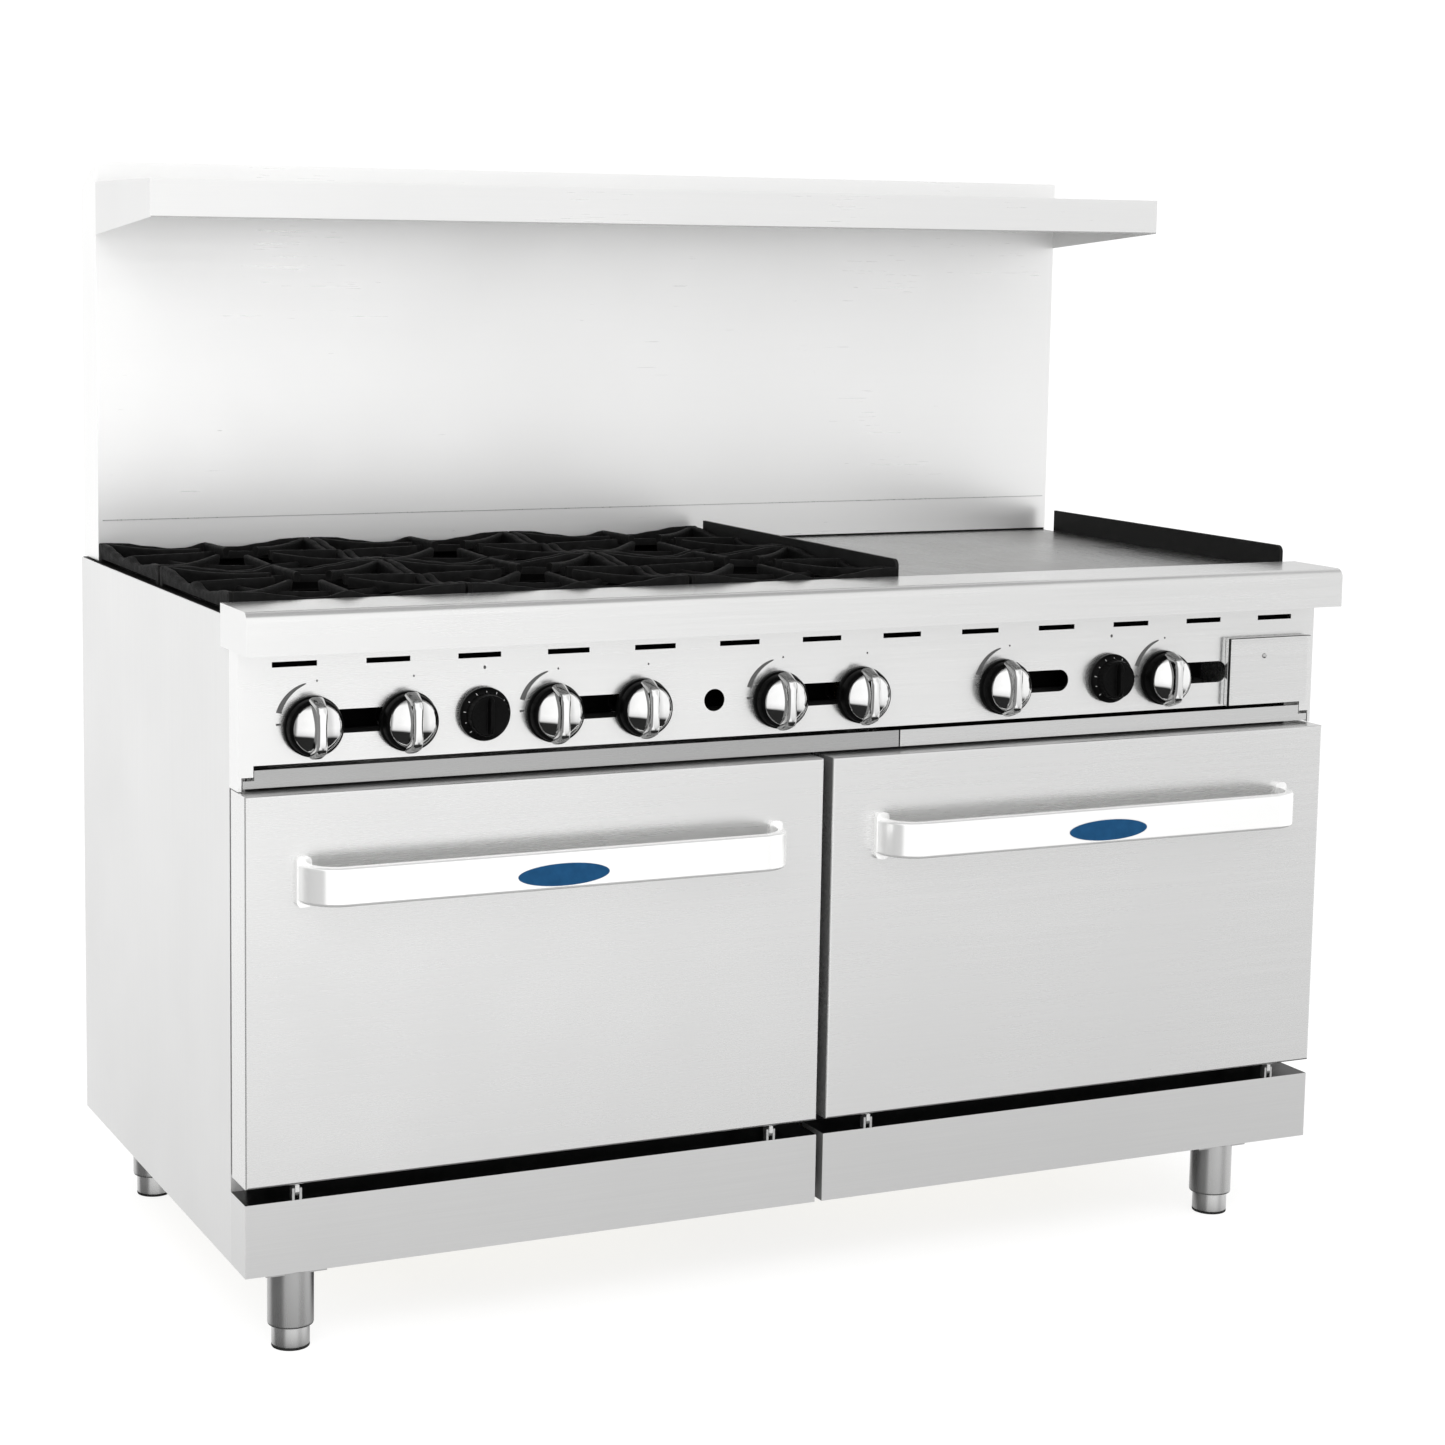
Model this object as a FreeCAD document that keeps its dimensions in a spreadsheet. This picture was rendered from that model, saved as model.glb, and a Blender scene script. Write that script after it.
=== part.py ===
import FreeCAD, Part
import math
import os
import re
import Sketcher

# Commercial gas range: six open burners and a griddle over two ovens, with a
# tall riser and a high shelf, on four adjustable legs.
# Frame: X across the front, centred; -Y towards the cook; Z up from the floor.
# Driving dimensions in millimetres: alias, value, what it is.
DIMENSIONS = [
    ("width", 1524, "body width, the nominal 60 inches"),
    ("sheet", 1.5, "thickness of the body sheets"),
    ("thin", 1.2, "thickness of the door, riser and shelf sheets"),
    ("door_front", -366.9, "outer face of the doors"),
    ("kick_front", -363.8, "outer face of the kick plates"),
    ("panel_front", -339, "outer face of the control panel"),
    ("side_front", -306.3, "front edge of the side panels"),
    ("back_plane", 392.5, "outer face of the back panel"),
    ("floor_gap", 100.7, "underside of the body above the floor"),
    ("kick_top", 189.6, "top of the kick plates"),
    ("door_bottom", 209.4, "bottom edge of the doors"),
    ("door_top", 676.8, "top edge of the doors"),
    ("door_gap", 13, "gap between the two doors"),
    ("kick_gap", 10, "gap between the two kick plates"),
    ("panel_bottom", 707.5, "bottom edge of the control panel, above the crumb trays"),
    ("panel_foot", 678, "lower end of the control panel's narrow feet"),
    ("tray_top", 702, "upper edge of the crumb trays' fronts"),
    ("tray_step", 692, "height of the step in the panel's feet and the trays' fronts"),
    ("tray_half", 742, "half the width that the crumb trays take"),
    ("deck_top", 880, "rim that the grates stand on"),
    ("ledge_half", 766.5, "half the length of the front ledge"),
    ("ledge_front", -390.8, "front of the ledge"),
    ("ledge_back", -286.5, "back of the ledge"),
    ("ledge_bottom", 842.5, "underside of the ledge"),
    ("ledge_top", 893.5, "top of the ledge"),
    ("ledge_round", 12, "radius of the ledge's front edges"),
    ("riser_half", 754.7, "half the width of the riser"),
    ("riser_front", 328.2, "front face of the riser"),
    ("riser_back", 406.5, "back face of the riser"),
    ("riser_top", 1417.4, "top of the riser at its front"),
    ("riser_slope", 36, "fall of the riser's top to its back"),
    ("shelf_front", 53.5, "front of the high shelf"),
    ("shelf_top", 1389.4, "top of the high shelf"),
    ("shelf_lip", 48, "depth of the shelf's turned-down front"),
    ("gusset_drop", 70, "depth of the shelf's ends at the riser"),
    ("split", 143, "border between the burners and the griddle"),
    ("tray_split", 117, "border between the two crumb trays"),
    ("grate_left", -757, "left edge of the grates"),
    ("grate_gap", 2, "gap between two grates"),
    ("grate_rise", 25, "height of a grate above its rim"),
    ("knob_height", 751, "height of the knob axes"),
    ("slot_height", 754.5, "height of the knob slots and of the dial axes"),
    ("knob_first", -672, "first knob's axis"),
    ("knob_repeat", 306.2, "distance from one pair of knobs to the next"),
    ("knob_spacing", 118, "distance between the two knobs of a pair"),
    ("griddle_knob_left", 268, "left griddle knob's axis"),
    ("griddle_knob_right", 517, "right griddle knob's axis"),
    ("dial_left", -457, "left oven dial's axis"),
    ("dial_right", 432, "right oven dial's axis"),
    ("stem_radius", 4, "radius of a valve stem"),
    ("stem_play", 0.06, "radial play of a knob or hinge on its pin"),
    ("knob_stand", 2, "gap behind a knob"),
    ("oven_half", 330, "half the inner width of an oven"),
    ("oven_centre", 384, "distance of an oven's middle from the centre"),
    ("oven_floor", 186.5, "inner floor of an oven's burner space"),
    ("oven_deck", 250, "top of an oven's deck plate"),
    ("oven_roof", 600, "inner roof of an oven"),
    ("oven_back", 330, "inner back of an oven"),
    ("wool", 34, "thickness of the oven insulation"),
    ("hinge_y", -359, "door hinge axis, front to back"),
    ("hinge_z", 199.5, "door hinge axis height"),
    ("hinge_offset", 314, "distance of a hinge from its door's middle"),
    ("hinge_pin", 3.5, "radius of a hinge pin"),
    ("handle_half", 316, "half the length of a handle"),
    ("handle_bend", 46, "outer radius of a handle's bends"),
    ("handle_flare", 7, "how far a handle's feet stand above and below its strap"),
    ("handle_front", -421.5, "front face of the handles"),
    ("handle_bottom", 550.5, "lower edge of the handles"),
    ("handle_depth", 46, "height of a handle's strap"),
    ("handle_strap", 11, "thickness of a handle's strap"),
    ("badge_length", 118, "length of the oval badge"),
    ("badge_height", 27, "height of the oval badge"),
    ("leg_radius", 27.5, "outer radius of a leg tube"),
    ("leg_wall", 2.5, "wall of a leg tube"),
    ("leg_left", -696, "left legs' axis"),
    ("leg_right", 632, "right legs' axis"),
    ("leg_front", -331, "front legs' axis"),
    ("leg_rear", 282.5, "rear legs' axis"),
    ("leg_bottom", 29, "lower end of the leg tubes"),
    ("foot_radius", 22.5, "radius of a foot"),
    ("manifold_height", 727, "height of the gas manifold"),
    ("manifold_y", -302, "gas manifold's axis, front to back"),
    ("pipe_radius", 13.35, "outer radius of 3/4 inch gas pipe"),
    ("supply_x", 597, "gas supply pipe's axis"),
    ("supply_end", 422.5, "open end of the gas supply pipe"),
    ("box_front", -284, "front wall of the burner box"),
    ("drawer_left", 618, "left edge of the grease drawer's front"),
    ("drawer_right", 749, "right edge of the grease drawer's front"),
    ("drawer_bottom", 708, "lower edge of the grease drawer's front"),
    ("drawer_top", 799, "upper edge of the grease drawer's front"),
    ("griddle_top", 882, "cooking surface of the griddle"),
    ("griddle_plate", 20, "thickness of the griddle plate"),
    ("splash_top", 914, "top of the griddle's splashes"),
    ("splash_front", -272.5, "front ends of the griddle's splashes"),
    ("splash_back", 298, "back of the griddle plate"),
]

doc = FreeCAD.newDocument("GasRange")
dims = doc.addObject("Spreadsheet::Sheet", "Dims")
nodes = []


def fill_sheet():
    """Write each driving dimension, its meaning and its alias into the sheet."""
    for row, (alias, value, meaning) in enumerate(DIMENSIONS, start=1):
        dims.set("A%d" % row, meaning)
        dims.set("B%d" % row, str(value))
        dims.setAlias("B%d" % row, alias)
    doc.recompute()


def formula(text):
    """Turn @alias into a reference to the sheet."""
    return re.sub(r"@(\w+)", r"Dims.\1", str(text))


def number(text):
    """The value of a formula."""
    return float(dims.evalExpression(formula(text)))


def bind(thing, path, text):
    thing.setExpression(path, formula(text))


def place(thing, spot, rotation=None):
    """Give an object a turn, and bind its place to three formulas."""
    if rotation:
        thing.Placement = FreeCAD.Placement(FreeCAD.Vector(), rotation)
    for letter, text in zip("xyz", spot):
        bind(thing, "Placement.Base." + letter, text)
    return thing


def node(name, thing):
    """Register an object as a sub-part of the range."""
    thing.Label = name
    nodes.append(thing)
    return thing


ALONG = {
    "X": FreeCAD.Rotation(FreeCAD.Vector(0, 1, 0), 90),
    "Y": FreeCAD.Rotation(FreeCAD.Vector(1, 0, 0), -90),
    "Z": FreeCAD.Rotation(),
}
FACING_COOK = FreeCAD.Rotation(FreeCAD.Vector(1, 0, 0), 90)


def box(name, x, y, z):
    """A block between two X, two Y and two Z formulas."""
    block = doc.addObject("Part::Box", name)
    for side, (low, high) in zip(("Length", "Width", "Height"), (x, y, z)):
        bind(block, side, "(%s) - (%s)" % (high, low))
    return place(block, (x[0], y[0], z[0]))


def rod(name, axis, radius, length, spot):
    """A cylinder that starts at a spot and runs along X, Y or Z."""
    cylinder = doc.addObject("Part::Cylinder", name)
    bind(cylinder, "Radius", radius)
    bind(cylinder, "Height", length)
    return place(cylinder, spot, ALONG[axis])


def ball(name, radius, spot):
    sphere = doc.addObject("Part::Sphere", name)
    bind(sphere, "Radius", radius)
    return place(sphere, spot)


def join(name, parts):
    """Several touching objects as one solid."""
    fused = doc.addObject("Part::MultiFuse", name)
    fused.Shapes = parts
    fused.Refine = True
    return fused


def gather(name, parts):
    """Several separate solids as one group."""
    group = doc.addObject("Part::Compound", name)
    group.Links = parts
    return group


def cut(name, base, tools):
    """A base with one or more tools taken away."""
    tool = tools[0]
    if len(tools) > 1:
        tool = join(name + "_tools", tools)
    result = doc.addObject("Part::Cut", name)
    result.Base = base
    result.Tool = tool
    return result


def new_body(name, spot=("0", "0", "0"), rotation=None):
    body = doc.addObject("PartDesign::Body", name)
    return place(body, spot, rotation)


def sketch_on(body, role):
    """A sketch on one of the body's own origin planes."""
    sketch = body.newObject("Sketcher::SketchObject", body.Name + "_sketch")
    plane = [item for item in body.Origin.OriginFeatures if item.Role == role][0]
    sketch.AttachmentSupport = [(plane, "")]
    sketch.MapMode = "FlatFace"
    return sketch


def pin_point(sketch, geometry, point, across, up):
    """Fix a sketch point at two formulas, measured from the sketch's origin."""
    for kind, axis, text in (("DistanceX", -2, across), ("DistanceY", -1, up)):
        value = number(text)
        if abs(value) < 1e-9:
            sketch.addConstraint(Sketcher.Constraint("PointOnObject", geometry, point, axis))
            continue
        rule = Sketcher.Constraint(kind, -1, 1, geometry, point, value)
        index = sketch.addConstraint(rule)
        bind(sketch, "Constraints[%d]" % index, text)


def bind_radius(sketch, geometry, text):
    index = sketch.addConstraint(Sketcher.Constraint("Radius", geometry, number(text)))
    bind(sketch, "Constraints[%d]" % index, text)


def polygon(sketch, corners):
    """A closed outline with straight sides; each corner is a pair of formulas."""
    spots = [FreeCAD.Vector(number(across), number(up), 0) for across, up in corners]
    count = len(corners)
    first = sketch.GeometryCount
    for index in range(count):
        sketch.addGeometry(Part.LineSegment(spots[index], spots[(index + 1) % count]), False)
    for index in range(count):
        following = first + (index + 1) % count
        sketch.addConstraint(Sketcher.Constraint("Coincident", first + index, 2, following, 1))
    for index, (across, up) in enumerate(corners):
        pin_point(sketch, first + index, 1, across, up)


def rectangle(sketch, x, y):
    polygon(sketch, [(x[0], y[0]), (x[1], y[0]), (x[1], y[1]), (x[0], y[1])])


def circle(sketch, across, up, radius):
    centre = FreeCAD.Vector(number(across), number(up), 0)
    axis = FreeCAD.Vector(0, 0, 1)
    index = sketch.addGeometry(Part.Circle(centre, axis, number(radius)), False)
    pin_point(sketch, index, 3, across, up)
    bind_radius(sketch, index, radius)


def long_hole(sketch, x, up, radius):
    """A hole with round ends between two centres on one level."""
    left, right, level, size = number(x[0]), number(x[1]), number(up), number(radius)
    axis = FreeCAD.Vector(0, 0, 1)
    quarter = math.pi / 2
    ends = []
    for centre, start in ((left, quarter), (right, -quarter)):
        ring = Part.Circle(FreeCAD.Vector(centre, level, 0), axis, size)
        ends.append(sketch.addGeometry(Part.ArcOfCircle(ring, start, start + 2 * quarter), False))
    sides = []
    for side, (start, end) in ((1, (left, right)), (-1, (right, left))):
        height = level + side * size
        line = Part.LineSegment(FreeCAD.Vector(start, height, 0), FreeCAD.Vector(end, height, 0))
        sides.append(sketch.addGeometry(line, False))
    for first, first_end, second, second_end in (
            (sides[0], 1, ends[0], 1), (sides[0], 2, ends[1], 2),
            (sides[1], 1, ends[1], 1), (sides[1], 2, ends[0], 2)):
        rule = Sketcher.Constraint("Tangent", first, first_end, second, second_end)
        sketch.addConstraint(rule)
    for end, text in zip(ends, x):
        pin_point(sketch, end, 3, text, up)
    bind_radius(sketch, ends[0], radius)


def pad(body, sketch, length, side="One side", backwards=False):
    feature = body.newObject("PartDesign::Pad", body.Name + "_pad")
    feature.Profile = sketch
    feature.SideType = side
    feature.Reversed = backwards
    bind(feature, "Length", length)
    return feature


def pocket(body, sketch, length, side="One side", backwards=False):
    """Cut a sketch out of the body, and make sure that it cuts something."""
    doc.recompute()
    before = body.Shape.Volume
    feature = body.newObject("PartDesign::Pocket", body.Name + "_pocket")
    feature.Profile = sketch
    feature.SideType = side
    feature.Reversed = backwards
    bind(feature, "Length", length)
    doc.recompute()
    if body.Shape.Volume >= before - 1e-6:
        raise RuntimeError("%s: the pocket cuts nothing" % body.Name)
    return feature


def fillet(body, radius, chosen):
    """Round the edges for which chosen(edge) is true."""
    doc.recompute()
    base = body.Tip
    names = []
    for index, edge in enumerate(base.Shape.Edges, start=1):
        if chosen(edge):
            names.append("Edge%d" % index)
    if not names:
        raise RuntimeError("%s: no edge to round" % body.Name)
    feature = body.newObject("PartDesign::Fillet", body.Name + "_fillet")
    feature.Base = (base, names)
    bind(feature, "Radius", radius)
    return feature


def is_along(edge, axis):
    """Whether a straight edge runs along X, Y or Z."""
    if not isinstance(edge.Curve, Part.Line):
        return False
    step = edge.Vertexes[-1].Point - edge.Vertexes[0].Point
    return abs(abs(step["XYZ".index(axis)]) - step.Length) < 1e-6


# ---- body ----

def side_panel(name, side):
    """A folded side sheet: flat outside, with a return at its front and back edges."""
    outer = "%d * @width / 2" % side
    inner = "%d * (@width / 2 - @sheet)" % side
    fold = "%d * (@width / 2 - 19)" % side
    body = new_body(name, ("0", "0", "@floor_gap"))
    sketch = sketch_on(body, "XY_Plane")
    polygon(sketch, [
        (outer, "@side_front"), (outer, "@back_plane"),
        (fold, "@back_plane"), (fold, "@back_plane - @sheet"),
        (inner, "@back_plane - @sheet"), (inner, "@side_front + @sheet"),
        (fold, "@side_front + @sheet"), (fold, "@side_front")])
    pad(body, sketch, "@deck_top - 1 - @floor_gap")
    return node(name, body)


def back_panel():
    """The rear sheet, behind the side panels' returns, with a hole for the gas pipe."""
    sheet = box("back_sheet", ("-@width / 2 + @sheet", "@width / 2 - @sheet"),
                ("@back_plane - 2 * @sheet", "@back_plane - @sheet"),
                ("@floor_gap", "@deck_top"))
    hole = rod("back_hole", "Y", "@pipe_radius + 4", "20",
               ("@supply_x", "@back_plane - 12", "@manifold_height"))
    return node("back_panel", cut("back_panel_cut", sheet, [hole]))


def base_frame():
    """The welded bottom frame: a rectangle of rails with a middle rail under the ovens."""
    rail = 45
    front = "@side_front + @sheet"
    back = "@back_plane - 2 * @sheet"
    half = "@width / 2 - @sheet"
    outer = box("base_outer", ("-(%s)" % half, half), (front, back),
                ("@floor_gap + 1", "@oven_floor - @sheet - @wool"))
    windows = []
    for side, name in ((-1, "left"), (1, "right")):
        near = "%d * %g" % (side, rail / 2)
        far = "%d * (%s - %g)" % (side, half, rail)
        x = (far, near) if side < 0 else (near, far)
        windows.append(box("base_window_" + name, x,
                           ("%s + %g" % (front, rail), "%s - %g" % (back, rail)),
                           ("@floor_gap", "@oven_floor")))
    return node("base_frame", cut("base_frame_cut", outer, windows))


def front_ledge():
    """The rounded stainless ledge along the front of the cooktop, open at its back."""
    body = new_body("front_ledge")
    sketch = sketch_on(body, "YZ_Plane")
    rectangle(sketch, ("@ledge_front", "@ledge_back"), ("@ledge_bottom", "@ledge_top"))
    pad(body, sketch, "2 * @ledge_half", "Symmetric")
    front, bottom = number("@ledge_front"), number("@ledge_bottom")

    def is_front_top(edge):
        middle = edge.CenterOfMass
        return is_along(edge, "X") and abs(middle.y - front) < 0.01 and middle.z > bottom + 1

    fillet(body, "@ledge_round", is_front_top)
    inner = sketch_on(body, "YZ_Plane")
    floor, below = "@ledge_bottom + @sheet", "@ledge_bottom - 5"
    polygon(inner, [("@ledge_front + 4", floor), ("@side_front - 0.5", floor), ("@side_front - 0.5", below),
                    ("@ledge_back + 5", below), ("@ledge_back + 5", "@ledge_top - 4"),
                    ("@ledge_front + 4", "@ledge_top - 4")])
    pocket(body, inner, "2 * (@ledge_half - @sheet)", "Symmetric")
    return node("front_ledge", body)


def control_panel():
    """The front sheet with its vent slots, stem slots and dial holes, and its returns."""
    body = new_body("control_panel", ("0", "@panel_front + @sheet", "0"))
    face = sketch_on(body, "XZ_Plane")
    edge, foot, step = "@width / 2", "(@width / 2 - 4.5)", "(@tray_half + 1)"
    right = [(edge, "@ledge_bottom"), (edge, "@panel_foot"), (foot, "@panel_foot"),
             (foot, "@tray_step + 2"), (step, "@tray_step + 2"), (step, "@panel_bottom")]
    polygon(face, right + [("-" + x, z) for x, z in reversed(right)])
    pad(body, face, "@sheet")
    depth = "@side_front - @panel_front - @sheet"
    for side in (-1, 1):
        end = sketch_on(body, "XZ_Plane")
        x = ["%d * @width / 2" % side, "%d * (@width / 2 - @sheet)" % side]
        rectangle(end, sorted(x, key=number), ("@panel_foot", "@ledge_bottom"))
        pad(body, end, depth, backwards=True)
    lower = sketch_on(body, "XZ_Plane")
    rectangle(lower, ("-@width / 2", "@width / 2"), ("@panel_bottom", "@panel_bottom + @sheet"))
    pad(body, lower, depth, backwards=True)
    holes = sketch_on(body, "XZ_Plane")
    for pair in range(3):
        first = "@knob_first + %d * @knob_repeat" % pair
        long_hole(holes, (first, first + " + @knob_spacing"), "@slot_height", "14.35")
    long_hole(holes, ("@griddle_knob_left", "@griddle_knob_left + 87"), "@slot_height", "14.35")
    long_hole(holes, ("@griddle_knob_right", "@griddle_knob_right + 89"), "@slot_height", "14.35")
    circle(holes, "@dial_left", "@slot_height", "9")
    circle(holes, "@dial_right", "@slot_height", "9")
    circle(holes, "-148.2", "@slot_height", "14")
    rectangle(holes, ("@drawer_left + 8", "@drawer_right - 8"), ("@drawer_bottom + 3", "@drawer_top - 10"))
    pocket(body, holes, "20", "Symmetric")
    slot = sketch_on(body, "XZ_Plane")
    rectangle(slot, ("-693 - 27.5", "-693 + 27.5"), ("825 - 3.25", "825 + 3.25"))
    vent = pocket(body, slot, "20", "Symmetric")
    row = body.newObject("PartDesign::LinearPattern", "vent_row")
    row.Originals = [vent]
    row.Direction = (slot, ["H_Axis"])
    row.Mode = "Extent"
    row.Length = 115.76 * 12
    row.Occurrences = 13
    body.Tip = row
    return node("control_panel", body)


def kick_plate(name, side):
    """A folded plate under a door: face, top and bottom returns, and closed ends."""
    near = "%d * @kick_gap / 2" % side
    far = "%d * @width / 2" % side
    x = sorted((near, far), key=number)
    outer = box(name + "_outer", x, ("@kick_front", "@side_front"), ("@floor_gap", "@kick_top"))
    hollow = box(name + "_hollow", (x[0] + " + @sheet", x[1] + " - @sheet"),
                 ("@kick_front + @sheet", "@side_front + 5"),
                 ("@floor_gap + @sheet", "@kick_top - @sheet"))
    return node(name, cut(name + "_cut", outer, [hollow]))


def legs():
    """Four round leg tubes with a mounting plate each, bored for the feet's stems."""
    tubes = []
    for label, x, y in corner_spots():
        tube = rod("leg_tube_" + label, "Z", "@leg_radius", "@floor_gap - @leg_bottom - 5",
                   (x, y, "@leg_bottom"))
        plate = box("leg_plate_" + label, (x + " - 38", x + " + 38"),
                    (y + " - 24", y + " + 38"), ("@floor_gap - 5", "@floor_gap"))
        bore = rod("leg_bore_" + label, "Z", "@leg_radius - @leg_wall",
                   "@floor_gap - @leg_bottom - 12", (x, y, "@leg_bottom + 7"))
        thread = rod("leg_thread_" + label, "Z", "8 + @stem_play", "20", (x, y, "@leg_bottom - 5"))
        tubes.append(cut("leg_" + label, join("leg_blank_" + label, [tube, plate]), [bore, thread]))
    return node("legs", gather("legs_group", tubes))


def corner_spots():
    """The four legs: a label and the formulas of the axis."""
    return [
        ("front_left", "@leg_left", "@leg_front"),
        ("front_right", "@leg_right", "@leg_front"),
        ("rear_left", "@leg_left", "@leg_rear"),
        ("rear_right", "@leg_right", "@leg_rear"),
    ]


def foot(label, x, y):
    """An adjustable foot: a round pad with a neck, and a stem up into the leg."""
    body = new_body("foot_" + label, (x, y, "0"))
    sketch = sketch_on(body, "XZ_Plane")
    polygon(sketch, [("0", "0"), ("@foot_radius - 3", "0"), ("@foot_radius", "3"),
                     ("@foot_radius", "@leg_bottom - 4"), ("@foot_radius - 2", "@leg_bottom - 1"),
                     ("8", "@leg_bottom - 1"), ("8", "@leg_bottom + 45"), ("0", "@leg_bottom + 45")])
    spin = body.newObject("PartDesign::Revolution", body.Name + "_spin")
    spin.Profile = sketch
    spin.ReferenceAxis = (sketch, ["V_Axis"])
    spin.Angle = 360
    return node("foot_" + label, body)


# ---- ovens ----

def oven_x(side):
    """The inner left and right of an oven, as formulas."""
    middle = "%d * @oven_centre" % side
    return middle + " - @oven_half", middle + " + @oven_half"


def oven_liner(name, side):
    """An enamelled oven: five walls, a front flange, and ribs that carry the rack."""
    left, right = oven_x(side)
    wall = box(name + "_wall", (left + " - @sheet", right + " + @sheet"),
               ("@side_front + @sheet", "@oven_back + @sheet"),
               ("@oven_floor - @sheet", "@oven_roof + @sheet"))
    flange_x = sorted(("%d * 0.5" % side, "%d * (@width / 2 - 19.5)" % side), key=number)
    flange = box(name + "_flange", flange_x, ("@side_front", "@side_front + @sheet"),
                 ("@oven_floor", "@door_top"))
    hollow = box(name + "_hollow", (left, right), ("@side_front - 5", "@oven_back"),
                 ("@oven_floor", "@oven_roof"))
    parts = [cut(name + "_shell", join(name + "_blank", [wall, flange]), [hollow])]
    for index, level in enumerate((318, 398, 478)):
        for edge, x in (("l", (left, left + " + 9")), ("r", (right + " - 9", right))):
            parts.append(box("%s_rib_%s%d" % (name, edge, index), x,
                             ("@side_front + 30", "@oven_back"), (str(level), str(level + 5))))
    return node(name, join(name + "_joined", parts))


def oven_insulation():
    """A wool jacket around each oven, open at its front."""
    jackets = []
    for side, label in ((-1, "left"), (1, "right")):
        left, right = oven_x(side)
        shell = "@sheet"
        outer = box("wool_outer_" + label, (left + " - @sheet - @wool", right + " + @sheet + @wool"),
                    ("@side_front + 2 * @sheet", "@oven_back + @sheet + @wool"),
                    ("@oven_floor - @sheet - @wool", "@oven_roof + @sheet + @wool"))
        inner = box("wool_inner_" + label, (left + " - " + shell, right + " + " + shell),
                    ("@side_front", "@oven_back + @sheet"),
                    ("@oven_floor - @sheet", "@oven_roof + @sheet"))
        jackets.append(cut("wool_" + label, outer, [inner]))
    return node("oven_insulation", gather("wool_group", jackets))


def oven_decks():
    """The lift-out bottom of each oven, with a front skirt over the burner space."""
    decks = []
    for side, label in ((-1, "left"), (1, "right")):
        left, right = oven_x(side)
        x = (left + " + 2", right + " - 2")
        plate = box("deck_plate_" + label, x, ("@side_front + 2", "@oven_back - 15"),
                    ("@oven_deck - 2", "@oven_deck"))
        skirt = box("deck_skirt_" + label, x, ("@side_front + 2", "@side_front + 4"),
                    ("@oven_floor", "@oven_deck"))
        foot_bar = box("deck_foot_" + label, x, ("@oven_back - 17", "@oven_back - 15"),
                       ("@oven_floor", "@oven_deck"))
        slots = [box("deck_slot_%s%d" % (label, index),
                     (left + " + %d" % (70 + 105 * index), left + " + %d" % (130 + 105 * index)),
                     ("@side_front", "@side_front + 6"), ("@oven_floor + 25", "@oven_floor + 35"))
                 for index in range(5)]
        blank = join("deck_blank_" + label, [plate, skirt, foot_bar])
        decks.append(cut("deck_" + label, blank, slots))
    return node("oven_decks", gather("deck_group", decks))


def oven_rack(name, side):
    """A wire rack: a rim of thick wire, two cross wires and thinner wires front to back."""
    left, right = oven_x(side)
    level = "403 + 3.2"
    front, back = "@side_front + 50", "@oven_back - 6"
    rim = "3"
    near, far = left + " + 4.5", right + " - 4.5"
    wires = [
        rod(name + "_front", "X", rim, "(%s) - (%s)" % (far, near), (near, front, level)),
        rod(name + "_back", "X", rim, "(%s) - (%s)" % (far, near), (near, back, level)),
        rod(name + "_left", "Y", rim, "(%s) - (%s)" % (back, front), (near, front, level)),
        rod(name + "_right", "Y", rim, "(%s) - (%s)" % (back, front), (far, front, level)),
    ]
    for index, (x, y) in enumerate(((near, front), (far, front), (near, back), (far, back))):
        wires.append(ball("%s_corner%d" % (name, index), rim, (x, y, level)))
    for index, share in enumerate((0.33, 0.67)):
        y = "(%s) + %g * ((%s) - (%s))" % (front, share, back, front)
        wires.append(rod("%s_cross%d" % (name, index), "X", "2.5",
                         "(%s) - (%s)" % (far, near), (near, y, level)))
    count = 13
    for index in range(1, count):
        x = "(%s) + %d * ((%s) - (%s)) / %d" % (near, index, far, near, count)
        wires.append(rod("%s_wire%d" % (name, index), "Y", "1.8",
                         "(%s) - (%s)" % (back, front), (x, front, level + " + 1")))
    return node(name, join(name + "_joined", wires))


# ---- doors ----

def door_x(side):
    """A door's left and right edges, as formulas."""
    near = "%d * @door_gap / 2" % side
    far = "%d * @width / 2" % side
    return sorted((near, far), key=number)


def door_panel(name, side):
    """A door's outer shell: the face and four folded edges, open towards the oven."""
    left, right = door_x(side)
    body = new_body(name, ("0", "@door_front", "0"))
    face = sketch_on(body, "XZ_Plane")
    rectangle(face, (left, right), ("@door_bottom", "@door_top"))
    pad(body, face, "@side_front - 5.7 - @door_front", backwards=True)
    fillet(body, "2.5", lambda edge: abs(edge.BoundBox.YMax) < 0.01 and edge.Length > 50)
    hollow = sketch_on(body, "XZ_Plane")
    rectangle(hollow, (left + " + @thin", right + " - @thin"),
              ("@door_bottom + @thin", "@door_top - @thin"))
    bind(hollow, "AttachmentOffset.Base.z", "-@thin")
    pocket(body, hollow, "200")
    return node(name, body)


def door_liner(name, side):
    """A door's inner panel, a flat sheet with a raised middle that seals the oven."""
    left, right = door_x(side)
    sheet = box(name + "_sheet", (left + " + @thin", right + " - @thin"),
                ("@side_front - 5.7 - @thin", "@side_front - 5.7"),
                ("@door_bottom + @thin", "@door_top - @thin"))
    rim = box(name + "_rim", (left + " + 28", right + " - 28"),
              ("@side_front - 5.7", "@side_front - 1"), ("@door_bottom + 34", "@door_top - 28"))
    return node(name, join(name + "_joined", [sheet, rim]))


def door_insulation(name, side):
    """The wool slab inside a door."""
    left, right = door_x(side)
    return node(name, box(name + "_slab", (left + " + @thin", right + " - @thin"),
                          ("@door_front + @thin", "@side_front - 5.7 - @thin"),
                          ("@door_bottom + @thin", "@door_top - @thin")))


def door_middle(side):
    return "%d * (@width / 4 + @door_gap / 4)" % side


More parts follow.
